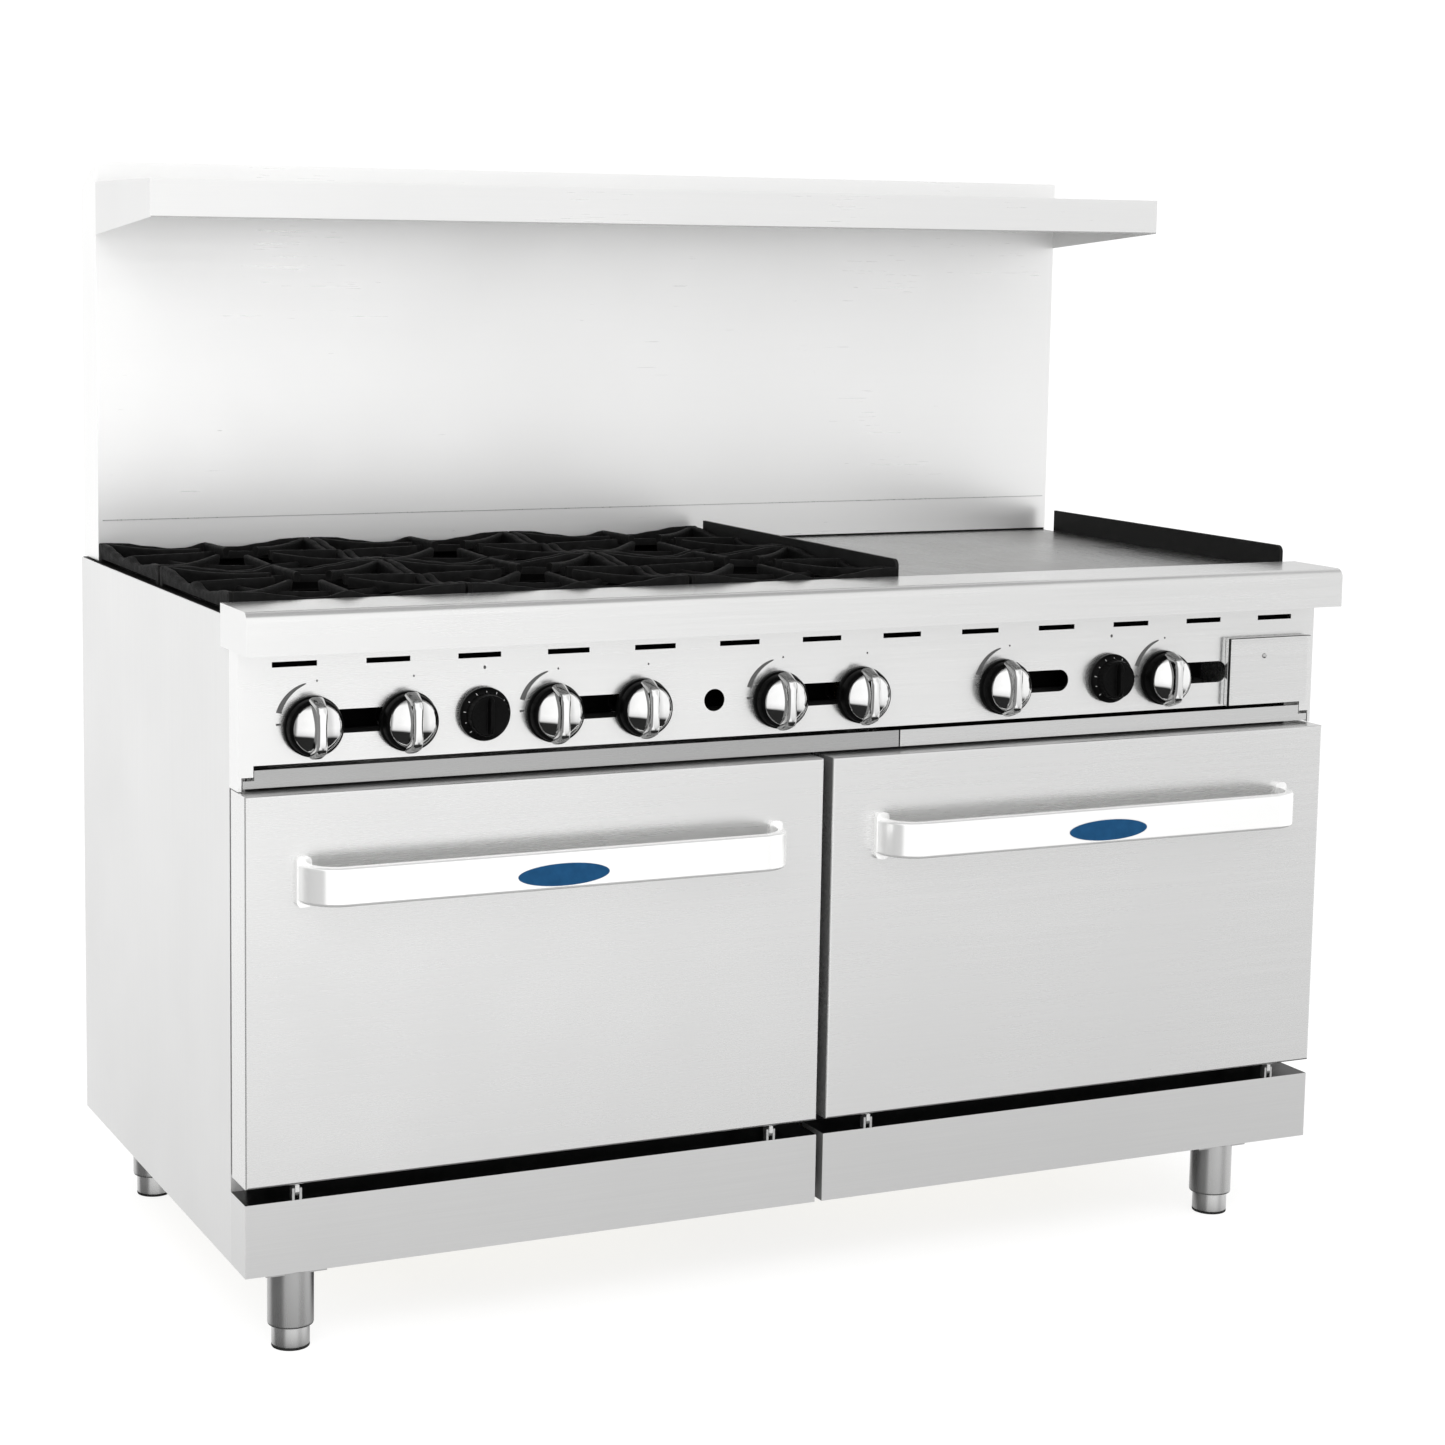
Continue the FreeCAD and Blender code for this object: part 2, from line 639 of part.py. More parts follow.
def door_handle(name, side):
    """A wide flat strap bent at both ends, standing off the door."""
    body = new_body(name + "_strap", (door_middle(side), "0", "@handle_bottom"))
    sketch = sketch_on(body, "XY_Plane")
    inner = "(@handle_half - @handle_strap)"
    polygon(sketch, [
        ("-@handle_half", "@door_front"), ("-@handle_half", "@handle_front"),
        ("@handle_half", "@handle_front"), ("@handle_half", "@door_front"),
        (inner, "@door_front"), (inner, "@handle_front + @handle_strap"),
        ("-" + inner, "@handle_front + @handle_strap"), ("-" + inner, "@door_front")])
    pad(body, sketch, "@handle_depth")
    front = number("@handle_front")
    strap = number("@handle_strap")

    def is_upright_at(level):
        return lambda edge: is_along(edge, "Z") and abs(edge.CenterOfMass.y - level) < 0.01

    fillet(body, "@handle_bend", is_upright_at(front))
    fillet(body, "@handle_bend - @handle_strap", is_upright_at(front + strap))
    fillet(body, "4", lambda edge: abs(edge.BoundBox.ZLength) < 0.01
           and edge.BoundBox.YMin < front + strap / 2 - 0.5)
    pieces = [body]
    for sign, label in (("-", "left"), ("+", "right")):
        x = "%s %s (@handle_half - 8)" % (door_middle(side), sign)
        foot = new_body("%s_foot_%s" % (name, label), (x, "@door_front", "@handle_bottom"))
        outline = sketch_on(foot, "XZ_Plane")
        rectangle(outline, ("-9", "9"), ("-@handle_flare", "@handle_depth + @handle_flare"))
        pad(foot, outline, "7")
        fillet(foot, "6", lambda edge: is_along(edge, "Y"))
        pieces.append(foot)
    return node(name, join(name + "_joined", pieces))


def handle_badge(name, side):
    """A plain oval badge on the handle's face."""
    centre = FreeCAD.Vector(0, 0, 0)
    oval = Part.Ellipse(centre, number("@badge_length") / 2, number("@badge_height") / 2)
    disc = Part.Face(Part.Wire(oval.toShape()))
    badge = doc.addObject("Part::Feature", name)
    badge.Shape = disc.extrude(FreeCAD.Vector(0, 0, 1))
    place(badge, (door_middle(side), "@handle_front", "@handle_bottom + 0.4 * @handle_depth"),
          FACING_COOK)
    return node(name, badge)


def hinge_spots(side):
    """The middles of a door's two hinges along X, as formulas."""
    middle = door_middle(side)
    return middle + " - @hinge_offset", middle + " + @hinge_offset"


def door_hinges(name, side):
    """Two hinge tongues under a door, each with an eye for the pin."""
    tongues = []
    for index, x in enumerate(hinge_spots(side)):
        part = "%s_%d" % (name, index)
        plate = box(part + "_plate", (x + " - 9", x + " + 9"),
                    ("@hinge_y - 2", "@hinge_y + 30"), ("@door_bottom - 1.5", "@door_bottom"))
        web = box(part + "_web", (x + " - 2.5", x + " + 2.5"),
                  ("@hinge_y - 5.5", "@hinge_y + 5.5"), ("@hinge_z", "@door_bottom - 1.5"))
        eye = rod(part + "_eye", "X", "5.5", "5", (x + " - 2.5", "@hinge_y", "@hinge_z"))
        bore = rod(part + "_bore", "X", "@hinge_pin + @stem_play", "20",
                   (x + " - 10", "@hinge_y", "@hinge_z"))
        tongues.append(cut(part, join(part + "_blank", [plate, web, eye]), [bore]))
    return node(name, gather(name + "_group", tongues))


def hinge_pins():
    """A fixed fork and pin on the kick plate for each hinge."""
    forks = []
    for side, label in ((-1, "left"), (1, "right")):
        for index, x in enumerate(hinge_spots(side)):
            part = "pin_%s%d" % (label, index)
            pieces = [rod(part, "X", "@hinge_pin", "12", (x + " - 6", "@hinge_y", "@hinge_z"))]
            for edge, low, high in (("a", -6, -3), ("b", 3, 6)):
                pieces.append(box(part + edge, (x + " + %g" % low, x + " + %g" % high),
                                  ("@hinge_y - 4.5", "@hinge_y + 4.5"),
                                  ("@kick_top", "@hinge_z + 4.5")))
            forks.append(join(part + "_fork", pieces))
    return node("hinge_pins", gather("hinge_pins_group", forks))


# ---- cooktop ----

def stem_spots():
    """Every valve's axis along X: six burners, two griddle burners and two oven dials."""
    spots = []
    for pair in range(3):
        first = "@knob_first + %d * @knob_repeat" % pair
        spots.append(first)
        spots.append(first + " + @knob_spacing")
    return spots + ["@griddle_knob_left", "@griddle_knob_right", "@dial_left", "@dial_right"]


def burner_box():
    """The upper frame: four walls and a divider, rims for the grates, rails and tray runners."""
    half = "@width / 2 - @sheet"
    inner = "@width / 2 - 2 * @sheet"
    low = "@door_top + 3.7"
    back = "@riser_front + @sheet"
    outer = box("burner_outer", ("-(%s)" % half, half), ("@box_front", back), (low, "@deck_top"))
    bays = (("left", "-(%s)" % inner, "@tray_split - @sheet / 2"),
            ("right", "@tray_split + @sheet / 2", inner))
    tools = []
    for label, left, right in bays:
        tools.append(box("bay_" + label, (left, right), ("@box_front + @sheet", "@riser_front"),
                         (low + " + @sheet", "@deck_top - @sheet")))
        tools.append(box("bay_floor_" + label, (left + " + 22", right + " - 22"),
                         ("@box_front", "@riser_front - 12"), (low + " - 5", "@panel_bottom + 2")))
    tools.append(box("bay_mouth", ("-(%s)" % inner, inner), ("@box_front - 5", "@box_front + 5"),
                     (low + " + @sheet", "@panel_bottom + 2")))
    tools.append(box("burner_mouth", ("-(%s) + 12" % inner, "@tray_split - 12"),
                     ("@box_front + 12", "@riser_front - 12"), ("@deck_top - 5", "@deck_top + 5")))
    tools.append(box("griddle_mouth", ("@split + 4", inner), ("@box_front + @sheet", "@riser_front"),
                     ("@deck_top - 5", "@deck_top + 5")))
    tools.append(box("drawer_mouth", ("@drawer_left + 1", "@drawer_right - 1"),
                     ("@box_front - 5", "@box_front + 5"), ("@drawer_bottom + 1", "@drawer_top - 9")))
    for name, y in (("front", "@box_front - 8"), ("rear", "@riser_front - 8")):
        tools.append(rod("supply_hole_" + name, "Y", "@pipe_radius + 2", "20",
                         ("@supply_x", y, "@manifold_height")))
    for index, x in enumerate(stem_spots()[:8]):
        tools.append(rod("orifice_hole%d" % index, "Y", "20", "20",
                         (x, "@box_front - 8", "@knob_height")))
    walls = cut("burner_walls", outer, tools)
    divider = box("divider", ("@tray_split - @sheet / 2", "@tray_split + @sheet / 2"),
                  ("@box_front", "@riser_front"), (low, "@deck_top"))
    ledge = box("divider_rim", ("@tray_split - 12", "@split + 4"), ("@box_front", "@riser_front"),
                ("@deck_top - @sheet", "@deck_top"))
    rails = []
    for index, row in enumerate(grate_rows()):
        y = "(%s + %s) / 2" % row
        rails.append(box("burner_rail%d" % index, ("-(%s)" % inner, "@tray_split"),
                         (y + " - 8", y + " + 8"), ("@knob_height - 22", "@knob_height - 16")))
    rails.append(box("grate_rail", ("-(%s)" % inner, "@tray_split"),
                     (grate_rows()[0][1] + " - 8", grate_rows()[0][1] + " + 8"),
                     ("@deck_top - 12", "@deck_top")))
    for index, y in enumerate(("@box_front + 30", "@riser_front - 50")):
        rails.append(box("griddle_rail%d" % index, ("@tray_split", inner), (y, y + " + 16"),
                         ("@griddle_top - @griddle_plate - 12", "@griddle_top - @griddle_plate")))
    return node("burner_box", join("burner_box_joined", [walls, divider, ledge] + rails))


def grate_rows():
    """The front and back of each row of grates, as formulas."""
    middle = "(@ledge_back + @riser_front) / 2"
    return [("@ledge_back", middle), (middle, "@riser_front")]


def grate_columns():
    """The left and right of each column of grates, as formulas."""
    step = "(@split - @grate_left) / 3"
    return [("@grate_left + %d * %s" % (index, step), "@grate_left + %d * %s" % (index + 1, step))
            for index in range(3)]


def grate(name, column, row):
    """A cast iron grate: a square rim with feet, straight and slanting fingers, a bowl ring."""
    left, right = column
    front, back = row
    x = (left + " + @grate_gap / 2", right + " - @grate_gap / 2")
    y = (front + " + @grate_gap / 2", back + " - @grate_gap / 2")
    middle_x = "((%s) + (%s)) / 2" % column
    middle_y = "((%s) + (%s)) / 2" % row
    outer = box(name + "_outer", x, y, ("@deck_top + 3", "@deck_top + 17"))
    inner = box(name + "_inner", (x[0] + " + 11", x[1] + " - 11"),
                (y[0] + " + 11", y[1] + " - 11"), ("@deck_top", "@deck_top + 30"))
    parts = [cut(name + "_rim", outer, [inner])]
    for index, (cx, cy) in enumerate(((x[0], y[0]), (x[1] + " - 16", y[0]),
                                      (x[0], y[1] + " - 16"), (x[1] + " - 16", y[1] + " - 16"))):
        parts.append(box("%s_corner%d" % (name, index), (cx, cx + " + 16"), (cy, cy + " + 16"),
                         ("@deck_top", "@deck_top + @grate_rise")))
    top = ("@deck_top + 8", "@deck_top + @grate_rise - 2")
    reach = 46
    parts.append(box(name + "_west", (x[0] + " + 5", "%s - %d" % (middle_x, reach)),
                     (middle_y + " - 5", middle_y + " + 5"), top))
    parts.append(box(name + "_east", ("%s + %d" % (middle_x, reach), x[1] + " - 5"),
                     (middle_y + " - 5", middle_y + " + 5"), top))
    parts.append(box(name + "_south", (middle_x + " - 5", middle_x + " + 5"),
                     (y[0] + " + 5", "%s - %d" % (middle_y, reach)), top))
    parts.append(box(name + "_north", (middle_x + " - 5", middle_x + " + 5"),
                     ("%s + %d" % (middle_y, reach), y[1] + " - 5"), top))
    for index, angle in enumerate((45, 135, 225, 315)):
        arm = doc.addObject("Part::Box", "%s_arm%d" % (name, index))
        bind(arm, "Length", "142")
        bind(arm, "Width", "10")
        bind(arm, "Height", "(%s) - (%s)" % (top[1], top[0]))
        turn = FreeCAD.Rotation(FreeCAD.Vector(0, 0, 1), angle)
        corner = turn.multVec(FreeCAD.Vector(50, -5, 0))
        place(arm, ("%s + %.4f" % (middle_x, corner.x), "%s + %.4f" % (middle_y, corner.y), top[0]),
              turn)
        parts.append(arm)
    ring = rod(name + "_ring", "Z", "97", "6", (middle_x, middle_y, "@deck_top + 8"))
    ring_hole = rod(name + "_ring_hole", "Z", "88", "20", (middle_x, middle_y, "@deck_top"))
    parts.append(cut(name + "_bowl", ring, [ring_hole]))
    return node(name, join(name + "_joined", parts))


def open_burners():
    """Six cast burners: a venturi from the front, a riser and a round ported head."""
    burners = []
    for column, (left, right) in enumerate(grate_columns()):
        head_x = "((%s) + (%s)) / 2" % (left, right)
        for row, (front, back) in enumerate(grate_rows()):
            part = "burner_%d%d" % (column, row)
            head_y = "((%s) + (%s)) / 2" % (front, back)
            tube_x = stem_spots()[2 * column + (1 - row)]
            reach = "abs((%s) - (%s))" % (head_x, tube_x)
            start = tube_x if row else head_x
            pieces = [
                rod(part + "_venturi", "Y", "16", "(%s) - (@box_front + 8)" % head_y,
                    (tube_x, "@box_front + 8", "@knob_height")),
                rod(part + "_link", "X", "16", reach, (start, head_y, "@knob_height")),
                ball(part + "_elbow", "16", (tube_x, head_y, "@knob_height")),
                ball(part + "_turn", "16", (head_x, head_y, "@knob_height")),
                rod(part + "_riser", "Z", "16", "95", (head_x, head_y, "@knob_height")),
                rod(part + "_head", "Z", "46", "13", (head_x, head_y, "@knob_height + 92")),
                rod(part + "_cap", "Z", "34", "8", (head_x, head_y, "@knob_height + 105")),
            ]
            mouth = rod(part + "_mouth", "Y", "12", "40", (tube_x, "@box_front + 4", "@knob_height"))
            burners.append(cut(part, join(part + "_blank", pieces), [mouth]))
    return node("open_burners", gather("open_burners_group", burners))


def gas_manifold():
    """The gas pipe behind the knobs, with the supply pipe that leaves at the back."""
    start = "@knob_first - 35"
    pieces = [
        rod("manifold_run", "X", "@pipe_radius", "@supply_x - (%s)" % start,
            (start, "@manifold_y", "@manifold_height")),
        ball("manifold_elbow", "@pipe_radius + 1.5", ("@supply_x", "@manifold_y", "@manifold_height")),
        rod("manifold_supply", "Y", "@pipe_radius", "@supply_end - 28 - @manifold_y",
            ("@supply_x", "@manifold_y", "@manifold_height")),
        rod("manifold_thread", "Y", "@pipe_radius - 0.25", "29",
            ("@supply_x", "@supply_end - 29", "@manifold_height")),
        rod("manifold_cap", "X", "@pipe_radius + 1.5", "18",
            (start + " - 4", "@manifold_y", "@manifold_height")),
    ]
    bore = rod("manifold_bore", "Y", "@pipe_radius - 2.9", "60",
               ("@supply_x", "@supply_end - 59", "@manifold_height"))
    return node("gas_manifold", cut("gas_manifold_cut", join("gas_manifold_blank", pieces), [bore]))


def gas_valves():
    """A valve on the manifold for each knob and dial, with its stem and its orifice."""
    pipe = rod("valve_seat", "X", "@pipe_radius", "@width",
               ("-@width / 2", "@manifold_y", "@manifold_height"))
    valves = []
    for index, x in enumerate(stem_spots()):
        part = "valve%d" % index
        height = "@knob_height" if index < 8 else "@slot_height"
        pieces = [
            box(part + "_body", (x + " - 11", x + " + 11"), ("@manifold_y - 23", "@manifold_y + 12"),
                (height + " - 11", height + " + 12")),
            rod(part + "_neck", "Z", "7", "14", (x, "@manifold_y", height + " - 23")),
            rod(part + "_stem", "Y", "@stem_radius", "40", (x, "@panel_front - 19", height)),
        ]
        if index < 8:
            pieces.append(rod(part + "_hood", "Y", "6", "16", (x, "@manifold_y + 10", height)))
        valves.append(cut(part, join(part + "_blank", pieces), [pipe]))
    return node("gas_valves", gather("gas_valves_group", valves))


def tube_burner(name, x, front, back, low, high, half):
    """A forked tube burner: a venturi at the front and two long ported tubes."""
    tube = "12"
    pieces = [
        rod(name + "_venturi", "Y", tube, "40", (x, front, low)),
        rod(name + "_riser", "Z", tube, "(%s) - (%s)" % (high, low), (x, front + " + 40", low)),
        ball(name + "_bend", tube, (x, front + " + 40", low)),
        rod(name + "_bridge", "X", tube, "%g" % (2 * half), (x + " - %g" % half, front + " + 40", high)),
    ]
    for side, sign in (("left", "-"), ("right", "+")):
        leg_x = "%s %s %g" % (x, sign, half)
        pieces.append(ball("%s_%s_bend" % (name, side), tube, (leg_x, front + " + 40", high)))
        pieces.append(rod("%s_%s_leg" % (name, side), "Y", tube, "(%s) - (%s) - 40" % (back, front),
                          (leg_x, front + " + 40", high)))
    return join(name, pieces)


def tube_burners():
    """The forked burners: one under each oven deck and two under the griddle."""
    burners = []
    for side, label in ((-1, "left"), (1, "right")):
        burners.append(tube_burner("oven_burner_" + label, "%d * @oven_centre" % side,
                                   "@side_front + 40", "@oven_back - 80",
                                   "@oven_floor + 12", "@oven_floor + 36", 130))
    for label in ("left", "right"):
        burners.append(tube_burner("griddle_burner_" + label, "@griddle_knob_" + label,
                                   "@box_front + 8", "@riser_front - 60",
                                   "@knob_height", "@griddle_top - 76", 58))
    return node("tube_burners", gather("tube_burners_group", burners))


def griddle_plate():
    """The griddle's thick plate with a narrow gutter and chute welded to its front."""
    left, right = "@split + 5", "@width / 2 - 10"
    gutter = ("@box_front + 2", "@splash_front")
    hollow = (gutter[0] + " + @thin", gutter[1] + " - @thin")
    base = "@griddle_top - 42"
    plate = box("griddle_slab", (left, right), ("@splash_front", "@riser_front - 2"),
                ("@griddle_top - @griddle_plate", "@griddle_top"))
    trough = box("gutter_outer", (left, right), gutter, (base, "@griddle_top - 4"))
    chute = box("chute_outer", ("@drawer_left + 40", "@drawer_left + 82"), gutter,
                ("@drawer_top - 8", base))
    inside = box("gutter_inner", (left + " + @thin", right + " - @thin"), hollow,
                 (base + " + @thin", "@griddle_top + 5"))
    drop = box("chute_inner", ("@drawer_left + 40 + @thin", "@drawer_left + 82 - @thin"), hollow,
               ("@drawer_top - 20", "@griddle_top"))
    blank = join("griddle_blank", [plate, trough, chute])
    return node("griddle_plate", cut("griddle_cut", blank, [inside, drop]))


def griddle_splashes():
    """The low guards on both sides of the griddle, rounded at their front."""
    guards = []
    for label, x, low in (("left", "@split + 0.5", "@deck_top"),
                          ("right", "@width / 2 - 10", "@griddle_top - @griddle_plate")):
        body = new_body("splash_" + label, (x, "0", "0"))
        sketch = sketch_on(body, "YZ_Plane")
        rectangle(sketch, ("@splash_front", "@splash_back"), (low, "@splash_top"))
        pad(body, sketch, "4.5")
        front, top = number("@splash_front"), number("@splash_top")
        fillet(body, "9", lambda edge: is_along(edge, "X")
               and abs(edge.CenterOfMass.y - front) < 0.01 and abs(edge.CenterOfMass.z - top) < 0.01)
        guards.append(body)
    return node("griddle_splashes", gather("griddle_splashes_group", guards))


def crumb_tray(name, side):
    """A shallow pan under the burners; its flat front is wider below the step in the panel."""
    bottom = "@door_top + 5.2"
    end = "%d * @tray_half" % side
    near = "@tray_split + %d" % (2 * side)
    low, high = sorted((end, near), key=number)
    pan = box(name + "_outer", (low, high), ("@panel_front", "@riser_front - 30"),
              (bottom, bottom + " + 13"))
    hollow = box(name + "_inner", (low + " + @thin", high + " - @thin"),
                 ("@panel_front + @sheet", "@riser_front - 30 - @thin"),
                 (bottom + " + @thin", bottom + " + 20"))
    across = ("@panel_front", "@panel_front + @sheet")
    front = box(name + "_front", sorted((end, "@tray_split + %d" % side), key=number), across,
                ("@door_top + 4", "@tray_top"))
    tab = box(name + "_tab", sorted((end, "%d * (@tray_half + 14)" % side), key=number), across,
              ("@door_top + 4", "@tray_step - 2"))
    return node(name, join(name + "_joined", [cut(name + "_pan", pan, [hollow]), front, tab]))


def grease_drawer():
    """The drawer under the griddle's chute: a box, and a front with a lip to pull."""
    left, right = "@drawer_left + 13", "@drawer_right - 13"
    face = "@panel_front - 6"
    outer = box("drawer_outer", (left, right), (face + " + @sheet", "@box_front + 180"),
                ("@drawer_bottom + 4", "@drawer_top - 16"))
    hollow = box("drawer_inner", (left + " + @thin", right + " - @thin"),
                 (face + " + @sheet + @thin", "@box_front + 180 - @thin"),
                 ("@drawer_bottom + 4 + @thin", "@drawer_top"))
    front = box("drawer_front", ("@drawer_left", "@drawer_right"), (face, "@panel_front - 0.6"),
                ("@drawer_bottom", "@drawer_top"))
    fold = box("drawer_fold", ("@drawer_left + @sheet", "@drawer_right - @sheet"),
               (face + " + @sheet", "@panel_front + 5"),
               ("@drawer_bottom + @sheet", "@drawer_top - @sheet"))
    lip = box("drawer_lip", ("@drawer_left", "@drawer_right"), (face + " - 7", face),
              ("@drawer_top - @sheet", "@drawer_top"))
    pieces = [cut("drawer_box", outer, [hollow]), cut("drawer_face", front, [fold]), lip]
    return node("grease_drawer", join("grease_drawer_joined", pieces))


# ---- controls ----

def turned_knob(name, x, height, outline, grip_width, grip_length, grip_height):
    """A turned knob with a straight grip across it and a blind hole for the valve stem."""
    body = new_body(name, (x, "@panel_front - @knob_stand", height), FACING_COOK)
    profile = sketch_on(body, "XZ_Plane")
    polygon(profile, outline)
    spin = body.newObject("PartDesign::Revolution", name + "_spin")
    spin.Profile = profile
    spin.ReferenceAxis = (profile, ["V_Axis"])
    spin.Angle = 360
    grip = sketch_on(body, "XY_Plane")
    rectangle(grip, ("-%g" % (grip_width / 2), "%g" % (grip_width / 2)),
              ("-%g" % (grip_length / 2), "%g" % (grip_length / 2)))
    bind(grip, "AttachmentOffset.Base.z", "6")
    pad(body, grip, "%g" % (grip_height - 6))
    fillet(body, "3", lambda edge: abs(edge.CenterOfMass.z - grip_height) < 0.01)
    bore = sketch_on(body, "XY_Plane")
    circle(bore, "0", "0", "@stem_radius + @stem_play")
    pocket(body, bore, "19.5", backwards=True)
    return node(name, body)


def gas_knob(name, x):
    outline = [("0", "0"), ("36.5", "0"), ("36.5", "7"), ("34.5", "8.5"), ("34", "16"), ("33", "18.5"),
               ("30", "21.8"), ("25", "25.4"), ("18", "28.8"), ("9", "30.7"), ("0", "31.3")]
    return turned_knob(name, x, "@knob_height", outline, 15, 60, 40)


def oven_dial(name, x):
    outline = [("0", "0"), ("32.5", "0"), ("32.5", "9"), ("27", "15"), ("25", "23"), ("0", "25")]
    return turned_knob(name, x, "@slot_height", outline, 9, 46, 31)


# ---- riser and shelf ----

def riser():
    """The hollow flue riser behind the cooktop, with a sloping top and rear flue slots."""
    body = new_body("riser")
    back_top = "@riser_top - @riser_slope"
    outer = sketch_on(body, "YZ_Plane")
    polygon(outer, [("@riser_front", "@deck_top"), ("@riser_back", "@deck_top"),
                    ("@riser_back", back_top), ("@riser_front", "@riser_top")])
    pad(body, outer, "2 * @riser_half", "Symmetric")
    inner = sketch_on(body, "YZ_Plane")
    polygon(inner, [("@riser_front + @thin", "@deck_top - 5"), ("@riser_back - @thin", "@deck_top - 5"),
                    ("@riser_back - @thin", back_top + " - @thin"),
                    ("@riser_front + @thin", "@riser_top - 2 * @thin")])
    pocket(body, inner, "2 * (@riser_half - @thin)", "Symmetric")
    slots = sketch_on(body, "XZ_Plane")
    bind(slots, "AttachmentOffset.Base.z", "-@riser_back")
    for index in range(11):
        middle = -600 + 120 * index
        rectangle(slots, (str(middle - 42), str(middle + 42)), (back_top + " - 60", back_top + " - 46"))
    pocket(body, slots, "10", "Symmetric")
    return node("riser", body)


def high_shelf():
    """The shelf on the riser: a top sheet, a turned-down front and tapering ends."""
    body = new_body("high_shelf")
    outer = sketch_on(body, "YZ_Plane")
    polygon(outer, [("@shelf_front", "@shelf_top - @shelf_lip"), ("@shelf_front", "@shelf_top"),
                    ("@riser_front", "@shelf_top"), ("@riser_front", "@shelf_top - @gusset_drop")])
    pad(body, outer, "2 * @riser_half", "Symmetric")
    inner = sketch_on(body, "YZ_Plane")
    polygon(inner, [("@shelf_front + @thin", "@shelf_top - @shelf_lip - 50"),
                    ("@shelf_front + @thin", "@shelf_top - @thin"),
                    ("@riser_front + 5", "@shelf_top - @thin"),
                    ("@riser_front + 5", "@shelf_top - @gusset_drop - 50")])
    pocket(body, inner, "2 * (@riser_half - @thin)", "Symmetric")
    return node("high_shelf", body)


# ---- assembly ----

def build_body():
    side_panel("side_panel_left", -1)
    side_panel("side_panel_right", 1)
    back_panel()
    base_frame()
    burner_box()
    front_ledge()
    control_panel()
    kick_plate("kick_plate_left", -1)
    kick_plate("kick_plate_right", 1)
    legs()
    for label, x, y in corner_spots():
        foot(label, x, y)
    riser()
    high_shelf()


def build_ovens():
    oven_insulation()
    oven_decks()
    hinge_pins()
    for side, label in ((-1, "left"), (1, "right")):
        oven_liner("oven_liner_" + label, side)
        oven_rack("oven_rack_" + label, side)
        door_panel("door_panel_" + label, side)
        door_liner("door_liner_" + label, side)
        door_insulation("door_insulation_" + label, side)
        door_handle("door_handle_" + label, side)
        handle_badge("handle_badge_" + label, side)
        door_hinges("door_hinges_" + label, side)


def build_cooktop():
    for column, across in zip(grate_columns(), ("left", "centre", "right")):
        for row, along in zip(grate_rows(), ("front", "rear")):
            grate("grate_%s_%s" % (along, across), column, row)
    open_burners()
    tube_burners()
    gas_manifold()
    gas_valves()
    griddle_plate()
    griddle_splashes()
    crumb_tray("crumb_tray_left", -1)
    crumb_tray("crumb_tray_right", 1)
    grease_drawer()
    stems = stem_spots()
    for index in range(6):
        gas_knob("burner_knob_%d" % (index + 1), stems[index])
    gas_knob("griddle_knob_left", stems[6])
    gas_knob("griddle_knob_right", stems[7])
    oven_dial("oven_dial_left", stems[8])
    oven_dial("oven_dial_right", stems[9])


def check_document():
    """Stop if anything in the document failed, or a sub-part isn't sound."""
    for thing in doc.Objects:
        if "Invalid" in thing.State or "Error" in thing.State:
            raise RuntimeError("%s failed: %s" % (thing.Label, thing.State))
    for thing in nodes:
        if thing.Shape.isNull() or not thing.Shape.isValid() or not thing.Shape.Solids:
            raise RuntimeError("%s has no sound shape" % thing.Label)


def export():
    os.makedirs("parts", exist_ok=True)
    for thing in nodes:
        thing.Shape.exportStep("parts/%s.step" % thing.Label)
        print("%-22s %2d solids %12.0f mm3" % (thing.Label, len(thing.Shape.Solids), thing.Shape.Volume))
    print(len(nodes), "sub-parts")


fill_sheet()
build_body()
build_ovens()
build_cooktop()
doc.recompute()
check_document()
export()
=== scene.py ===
import math

import bmesh
import bpy
from mathutils import Matrix, Vector


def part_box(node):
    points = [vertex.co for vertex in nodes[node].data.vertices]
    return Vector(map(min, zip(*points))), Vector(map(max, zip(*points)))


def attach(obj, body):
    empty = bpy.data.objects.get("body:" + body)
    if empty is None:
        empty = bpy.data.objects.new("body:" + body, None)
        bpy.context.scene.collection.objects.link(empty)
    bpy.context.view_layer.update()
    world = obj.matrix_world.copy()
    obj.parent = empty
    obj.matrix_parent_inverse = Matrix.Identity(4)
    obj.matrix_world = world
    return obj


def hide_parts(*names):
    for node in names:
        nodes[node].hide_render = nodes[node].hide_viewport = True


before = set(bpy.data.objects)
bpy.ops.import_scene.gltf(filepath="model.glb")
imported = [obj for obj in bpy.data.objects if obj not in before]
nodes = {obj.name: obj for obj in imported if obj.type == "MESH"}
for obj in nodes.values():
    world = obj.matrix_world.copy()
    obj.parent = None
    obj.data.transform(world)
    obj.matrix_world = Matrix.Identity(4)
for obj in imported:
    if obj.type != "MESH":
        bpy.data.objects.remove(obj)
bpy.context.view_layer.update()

SIDES = ("left", "right")

# A colour Mix node's sockets share their names with its other types, so they go by number.
FIRST_COLOUR, SECOND_COLOUR, MIXED_COLOUR = 6, 7, 2


# ---- node helpers ----

